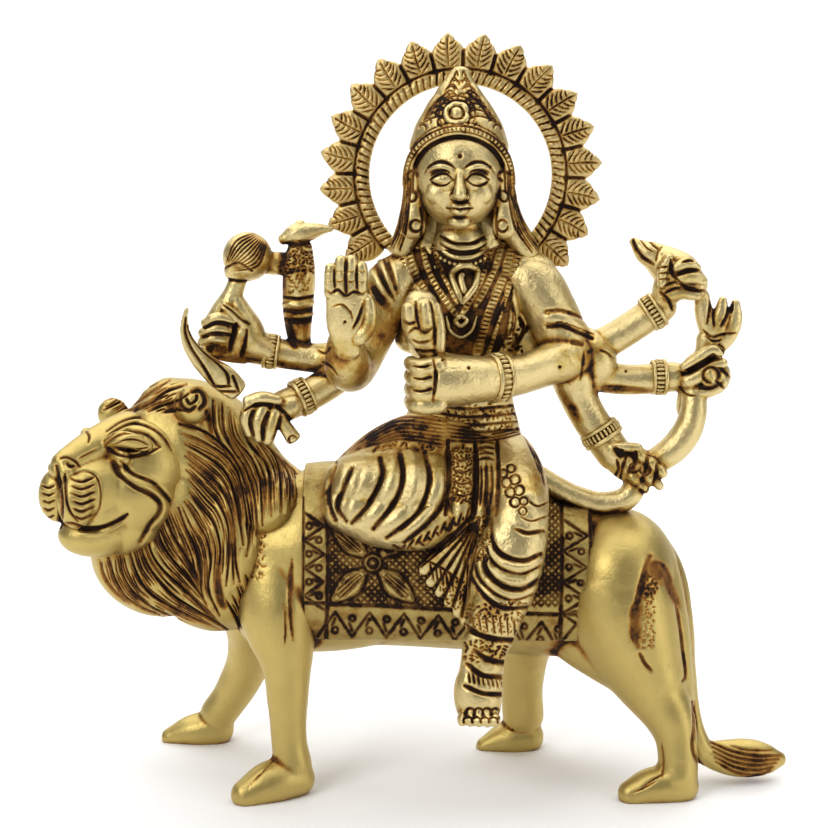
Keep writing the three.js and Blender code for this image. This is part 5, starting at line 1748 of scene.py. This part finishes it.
# The fingers round the shaft.
TRIDENT_FINGERS = (
    (DEEP, (718, 368), (724, 371), (729, 376)),
    (DEEP, (716, 381), (720, 385), (724, 388)),
    (DEEP, (719, 345), (723, 349), (727, 356)),
    (DEEP, (700, 388), (712, 388), (722, 383)),
    (FINE, (680, 387), (686, 394), (696, 396)),
)

# The knuckles over the bow's grip.
BOW_FINGERS = (
    (tool(3.2, -0.9, 1, 0), (616, 450), (620, 454)),
    (DEEP, (636, 452), (634, 466), (628, 472)),
    (DEEP, (647, 458), (646, 470), (642, 478)),
    (DEEP, (657, 464), (656, 476), (652, 486)),
    (DEEP, (626, 456), (622, 468), (620, 480)),
)

# The wrist, and the bow's dark edge.
BOW_LINES = (
    (DEEP, (612, 480), (618, 470), (617, 460)),
    (DEEP, (640, 490), (646, 494), (652, 486)),
    (tool(2.4, -0.3, 0.9), (560, 500), (580, 510), (605, 514), (622, 508)),
)

# Where painted shade and patina darken the skin about the elbows, the bud, the trident and the bow.
LEFT_SHADE_AND_STAINS = (
    (588, 358, 26, 0.35), (648, 468, 28, 0.4), (705, 368, 20, 0.3), (560, 312, 22, 0.2), (676, 285, 22, 0.2),
    (600, 395, 24, 0.2), (424, 330, 18, 0.3), (720, 325, 20, 0.2),
)


class FIGURE_OT_left_arms(bpy.types.Operator):
    """Models the four left arms with the bud, conch, trident and bow"""

    bl_idname = "figure.left_arms"
    bl_label = "Left Arms"

    def execute(self, context):
        form = Blockout("left_arms")
        form.limb((27.4, 2.6, 137.2, 6.6), (31.2, 1.4, 134.4, 7.7), (35.6, 0, 128, 7.4),
                  (39.6, -1, 120, 6.8), (41.2, -1, 115, 6.4))
        form.drawn(0, (577, 345, 20), (596, 360, 21), (592, 378, 16))
        bands = [
            *banded(form, [(41.6, -3, 116, 6), (33.6, -9.5, 114, 5.4), (26, -15, 112.6, 5.2),
                           (15, -20.5, 112.8, 6.2), (7.6, -22.5, 112.8, 6.8)], 2, 0.4, width=4.4),
            *banded(form, [(42, 0.5, 115, 5.8), (50, 2, 117.8, 4.4), (66, 3, 128, 4.2)], 1, 0.86),
            *banded(form, [(43, 0.5, 113, 5.4), (53.5, 2, 108.8, 4.2), (70, 3, 109, 4)], 1, 0.74),
            *banded(form, [(42, -0.5, 112.4, 6.4), (44.6, -1, 103, 5), (53.4, -3, 89.4, 4.8)], 1, 0.62),
        ]
        self.bud(form)
        self.conch(form)
        self.trident(form)
        self.bow(form)
        arms = form.melt(fineness(0.76), rounds=2)
        arms.refine((600, 226), (750, 500))
        arms.refine((395, 290), (450, 412))
        self.carve_upper(arms)
        self.carve_bud(arms)
        self.carve_conch(arms)
        self.carve_trident(arms)
        self.carve_bow(arms)
        arms.cut()
        arms.extras += bands
        arms.finish("brass_polished", goddess_brass(), "goddess", grime=0.04)
        return {"FINISHED"}

    def carve_upper(self, arms):
        arms.engrave(ELBOW_LINES)
        arms.dots([(626, 371), (560, 367), (589, 352)], radius=1.3, lift=-0.4, shade=1)

    def bud(self, form):
        form.drawn(-21, (427, 352, 9), (421, 334, 15.5), (420, 318, 19), (421, 306, 17), flat=0.8)
        form.drawn(-23.8, (409, 309, 7.6), (410, 317, 7.6))
        form.drawn(-23.8, (425, 306, 6), (427, 324, 7))
        form.drawn(-21.6, (436, 307, 5), (440, 328, 5.6), (440, 350, 5.4))
        for up in (-5, -1.7, 1.7, 5):
            form.limb((6, -26, 112.4 + up, 2.5), (1.6, -26.6, 112.2 + up, 2.2), (-0.8, -20, 112 + up, 2))

    def carve_bud(self, arms):
        arms.strokes([[(413, v), (422, v + 1), (431, v - 1)] for v in (366, 378, 390)], **DEEP)
        arms.engrave(BUD_LINES)
        arms.dots([(443, 360), (469, 368)], radius=1.5, lift=-0.4, shade=1)
        arms.rub((460, 382), 26, 0.2)
        arms.shade_and_stain(LEFT_SHADE_AND_STAINS)

    def conch(self, form):
        form.drawn(2, (634, 242, 5), (643, 250, 11), (655, 257, 15), (668, 266, 20), (681, 276, 22),
                   (691, 284, 17), flat=0.9)
        form.drawn(1.4, (662, 300, 13), (672, 286, 18), (686, 281, 18), (695, 288, 12), flat=0.9)
        form.drawn(-3.2, (677, 267, 5.4), (688, 263.5, 6.2), (697, 268, 4.6))
        form.drawn(-3.4, (680, 279, 5.8), (692, 277, 6.8), (703, 281, 5))
        form.drawn(-2.4, (662, 284, 5), (663, 270, 5.4), (669, 258, 5))
        form.drawn(-2, (668, 296, 5.4), (682, 293, 6), (697, 296, 5))

    def carve_conch(self, arms):
        arms.engrave(CONCH_LINES)
        arms.strokes([[(658, 268 + 6 * k), (664, 267 + 6 * k), (669, 267 + 6 * k)] for k in range(3)], **FINE)
        arms.stroke([(660, 292), (668, 300), (673, 310)], **DEEP)

    def trident(self, form):
        form.limb((77.2, 3, 104, 2), (78.2, 3.5, 119, 2.6))
        form.drawn(3.5, (702, 296, 7.6), (704, 312, 9.6), (710, 330, 11), (714, 344, 9), flat=0.75)
        form.drawn(3, (722.5, 301, 5), (721, 314, 8.4), (717, 330, 9), flat=0.8)
        form.drawn(3.5, (735.5, 304, 5), (735, 318, 7.6), (728, 334, 9.6), (718, 346, 9), flat=0.75)
        form.drawn(2.6, (688, 378, 14), (703, 371, 21), (711, 376, 20))
        form.drawn(-1.6, (684, 367, 5), (698, 357.5, 5.8), (712, 350, 5.8), (720, 352, 5))
        form.drawn(-1.4, (688, 381, 7), (700, 375, 7.4), (712, 367, 6.6), (723, 363, 5))
        form.drawn(-2, (708, 371, 5.6), (712, 379, 5.6))
        form.drawn(-1, (698, 392, 6.4), (712, 390, 6.4), (723, 382, 5.4))
        form.drawn(2, (688, 392, 10), (688, 408, 12))

    def carve_trident(self, arms):
        arms.engrave(TRIDENT_LINES)
        arms.ring((711, 375), 8, turn=(100, 400), **DEEP)
        arms.engrave(TRIDENT_FINGERS)

    def bow(self, form):
        form.limb((33, -4, 83.4, 3), (37.6, -4.5, 80.8, 2.9), (43.6, -5, 77.8, 3), (51.4, -5, 75.8, 3.3),
                  (57.6, -5, 78, 3.2), (59.6, -4, 82, 3), cap=0.5)
        form.limb((59.6, -3, 84, 3.4), (65.4, -3, 87.4, 3.6), (71.4, -2, 92.4, 4), (74.6, -1, 99, 3.7),
                  (75, 1, 106, 3.2), cap=0.5)
        form.drawn(-2.6, (604, 446, 13), (621, 458, 18), (638, 466, 19), (652, 468, 15))
        for u, v, wide in ((629, 462, 6), (641, 456, 5.6), (640, 470, 6.4), (652, 464, 6), (650, 478, 6.4),
                           (661, 471, 5.4), (634, 478, 5.4), (643, 487, 5), (658, 484, 4.6)):
            form.drawn(-7, (u - 1.5, v - 1.5, wide), (u + 1.5, v + 2, wide))
        form.drawn(-7, (612, 448, 4.6), (626, 447, 5), (638, 448, 5))

    def carve_bow(self, arms):
        arms.plate([(614, 448), (624, 450), (620, 458)], -0.8)
        arms.engrave(BOW_FINGERS)
        arms.ring((634, 468), 4.5, turn=(0, 300), **FINE)
        arms.ring((645, 470), 5, turn=(-90, 220), **FINE)
        arms.engrave(BOW_LINES)


# Halo

HALO = (12.4, 10.2, 162.2)
HALO_RING_RADIUS = 26.1
HALO_SWEEP = 150
HALO_PITCH = 15
HALO_TURN = 1

# A leaf: its foot's radius, how long and how wide it is, how far its tip leans, in degrees, and its outline
# as shares of its length and width.
LEAF_FOOT = 26.4
LEAF_LENGTH = 11.4
LEAF_WIDTH = 4.1
LEAF_LEAN = 1.2
LEAF_OUTLINE = ((0.1, 0.98), (0.34, 1.12), (0.58, 1.06), (0.78, 0.72), (0.94, 0.3), (1.03, 0.04))
RIB_FOOT = 28
RIB_LENGTH = 9.4


def on_halo(degrees, radius, out=0.0):
    """A place on the halo, by its angle from the top, clockwise as the viewer sees it."""
    turn = math.radians(degrees + HALO_TURN)
    return HALO[0] + radius * math.sin(turn), HALO[1] - out, HALO[2] + radius * math.cos(turn)


class FIGURE_OT_halo(bpy.types.Operator):
    """Models the notched halo ring with its veined leaves"""

    bl_idname = "figure.halo"
    bl_label = "Halo"

    def execute(self, context):
        form = Blockout("halo_ring")
        ring = [(*on_halo(a, HALO_RING_RADIUS), 1.85) for a in range(-HALO_SWEEP, HALO_SWEEP + 1, 10)]
        form.limb(*ring, flat=0.86, cap=0.3)
        for k in range(9):
            for side in (-1, 1):
                middle = side * (k + 0.5) * HALO_PITCH
                form.limb(*((*on_halo(middle + LEAF_LEAN * along, LEAF_FOOT + LEAF_LENGTH * along),
                             LEAF_WIDTH * wide) for along, wide in LEAF_OUTLINE), flat=0.36, cap=0)
        halo = form.melt(fineness(0.7), rounds=2)
        self.carve(halo)
        halo.cut().finish("brass_golden", halo_brass(), "halo")
        return {"FINISHED"}

    def carve(self, halo):
        deep = tool(1.7, -0.7, 0.8, 0.2)
        fine = tool(1.05, -0.4, 0.3, 0.4)
        for side in (1, -1):
            for k in range(18):
                middle = (k - 8.5) * HALO_PITCH
                self.leaf(halo, middle, side, fine)
                edge = middle + HALO_PITCH / 2
                if k < 17:
                    halo.stroke([mark(*on_halo(edge, r)) for r in (28, 30.5, 33)], side=side,
                                **{**deep, "width": 1.3})
            rim = [mark(*on_halo(a, 28.3)) for a in range(-HALO_SWEEP, HALO_SWEEP + 1, 10)]
            halo.stroke(rim, side=side, **{**deep, "width": 1.3, "shade": 0.8})
            for k in range(75):
                a = -HALO_SWEEP + 4 * (k + 0.5)
                halo.stroke([mark(*on_halo(a, 24.6)), mark(*on_halo(a + 1.6, 27.6))], side=side,
                            **tool(1.0, -0.4, 0.45, 0.1))

    def leaf(self, halo, middle, side, fine):
        """The rib of one leaf and the veins to both sides of it."""
        def at_share(share, along, turn=0.0):
            return mark(*on_halo(middle + LEAF_LEAN * share * share + turn, RIB_FOOT + RIB_LENGTH * along))

        halo.stroke([at_share(t, t) for t in (0, 0.4, 0.75, 0.95)], side=side, **fine)
        for t in (0.08, 0.24, 0.4, 0.56, 0.72):
            for way in (-1, 1):
                vein = [at_share(t, t, way * 0.4), at_share(t, t + 0.1, way * 3.2),
                        at_share(t, t + 0.27, way * 6.2 * (1 - 0.45 * t))]
                halo.stroke(vein, side=side, **fine)


# Stage, in metres

SWEEP_FRONT = 1.0
SWEEP_START = 1.9
SWEEP_RADIUS = 0.6
SWEEP_LENGTH = 4.2
SWEEP_WIDTH = 5.0
NEAREST_SEEN = 0.01
LIGHTS_AIM = (0, 0, 0.09)
SKY = 0.22
LIGHTS = (
    ("overhead", (0.0, 0.35, 1.3), (2.6, 2.2), 34.0),
    ("key", (-0.55, -0.6, 0.6), (0.4, 0.5), 3.4),
    ("fill", (0.75, -0.35, 0.3), (0.25, 0.6), 1.4),
)


class FIGURE_OT_stage(bpy.types.Operator):
    """Sets the pale floor, the soft lights and the camera"""

    bl_idname = "figure.stage"
    bl_label = "Stage, Lights and Camera"

    def execute(self, context):
        self.camera()
        self.floor()
        self.lights()
        return {"FINISHED"}

    def camera(self):
        """The view that the carving is drawn on."""
        data = bpy.data.cameras.new("camera")
        data.lens = VIEW_FOCAL / PICTURE * SENSOR_WIDTH
        data.sensor_width = SENSOR_WIDTH
        data.clip_start = NEAREST_SEEN
        camera = bpy.data.objects.new("camera", data)
        camera.location = at(*VIEW_EYE)
        camera.rotation_euler = (math.pi / 2 - VIEW_ELEVATION, 0, 0)
        bpy.context.collection.objects.link(camera)
        bpy.context.scene.camera = camera

    def floor(self):
        """A pale floor that sweeps up into a wall behind the figure."""
        deselect()
        bpy.ops.mesh.primitive_grid_add(x_subdivisions=1, y_subdivisions=60, size=1.0)
        floor = bpy.context.active_object
        floor.name = "floor"
        for vertex in floor.data.vertices:
            run = (vertex.co.y + 0.5) * SWEEP_LENGTH
            vertex.co.x *= SWEEP_WIDTH
            bend = min(max(run - SWEEP_START, 0.0) / SWEEP_RADIUS, math.pi / 2)
            rise = max(run - SWEEP_START - SWEEP_RADIUS * math.pi / 2, 0.0)
            vertex.co.y = min(run, SWEEP_START) + SWEEP_RADIUS * math.sin(bend) - SWEEP_FRONT
            vertex.co.z = SWEEP_RADIUS * (1 - math.cos(bend)) + rise
        bpy.ops.object.shade_smooth()
        made = Finish("floor")
        made.feed(made.shader.inputs["Base Color"], (*bpy.context.scene.figure.floor, 1))
        made.feed(made.shader.inputs["Roughness"], 0.8)
        floor.data.materials.append(made.material)

    def lights(self):
        """Three soft lights and a dim white sky."""
        strength = bpy.context.scene.figure.light
        for name, place, size, power in LIGHTS:
            data = bpy.data.lights.new(name, "AREA")
            data.shape = "RECTANGLE"
            data.size, data.size_y = size
            data.energy = power * strength
            light = bpy.data.objects.new(name, data)
            light.location = place
            light.rotation_euler = (Vector(place) - Vector(LIGHTS_AIM)).to_track_quat("Z", "Y").to_euler()
            bpy.context.collection.objects.link(light)
        world = bpy.data.worlds.new("studio")
        bpy.context.scene.world = world
        world.use_nodes = True
        background = world.node_tree.nodes["Background"]
        background.inputs["Color"].default_value = (1, 1, 1, 1)
        background.inputs["Strength"].default_value = SKY * strength
        bpy.context.scene.view_settings.view_transform = "Standard"


class FIGURE_PT_panel(bpy.types.Panel):
    """Lists the figure's settings and its pieces"""

    bl_idname = "FIGURE_PT_panel"
    bl_label = "Brass Figure"
    bl_space_type = "VIEW_3D"
    bl_region_type = "UI"
    bl_category = "Brass Figure"

    def draw(self, context):
        for name in FigureSettings.__annotations__:
            self.layout.prop(context.scene.figure, name)
        for operator in PIECES:
            self.layout.operator(operator.bl_idname)


PIECES = (
    FIGURE_OT_stage,
    FIGURE_OT_lion_body,
    FIGURE_OT_lion_head,
    FIGURE_OT_saddle_cloth,
    FIGURE_OT_goddess_body,
    FIGURE_OT_goddess_legs,
    FIGURE_OT_goddess_head,
    FIGURE_OT_right_arms,
    FIGURE_OT_left_arms,
    FIGURE_OT_halo,
)


def register():
    for item in (FigureSettings, *PIECES, FIGURE_PT_panel):
        bpy.utils.register_class(item)
    bpy.types.Scene.figure = bpy.props.PointerProperty(type=FigureSettings)


def unregister():
    del bpy.types.Scene.figure
    for item in reversed((FigureSettings, *PIECES, FIGURE_PT_panel)):
        bpy.utils.unregister_class(item)


def main():
    """Builds the figure around the frame."""
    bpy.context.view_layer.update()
    register()
    for operator in PIECES:
        group, name = operator.bl_idname.split(".")
        getattr(getattr(bpy.ops, group), name)()
    for piece in bpy.data.objects:
        piece.select_set(False)


if __name__ == "__main__":
    main()
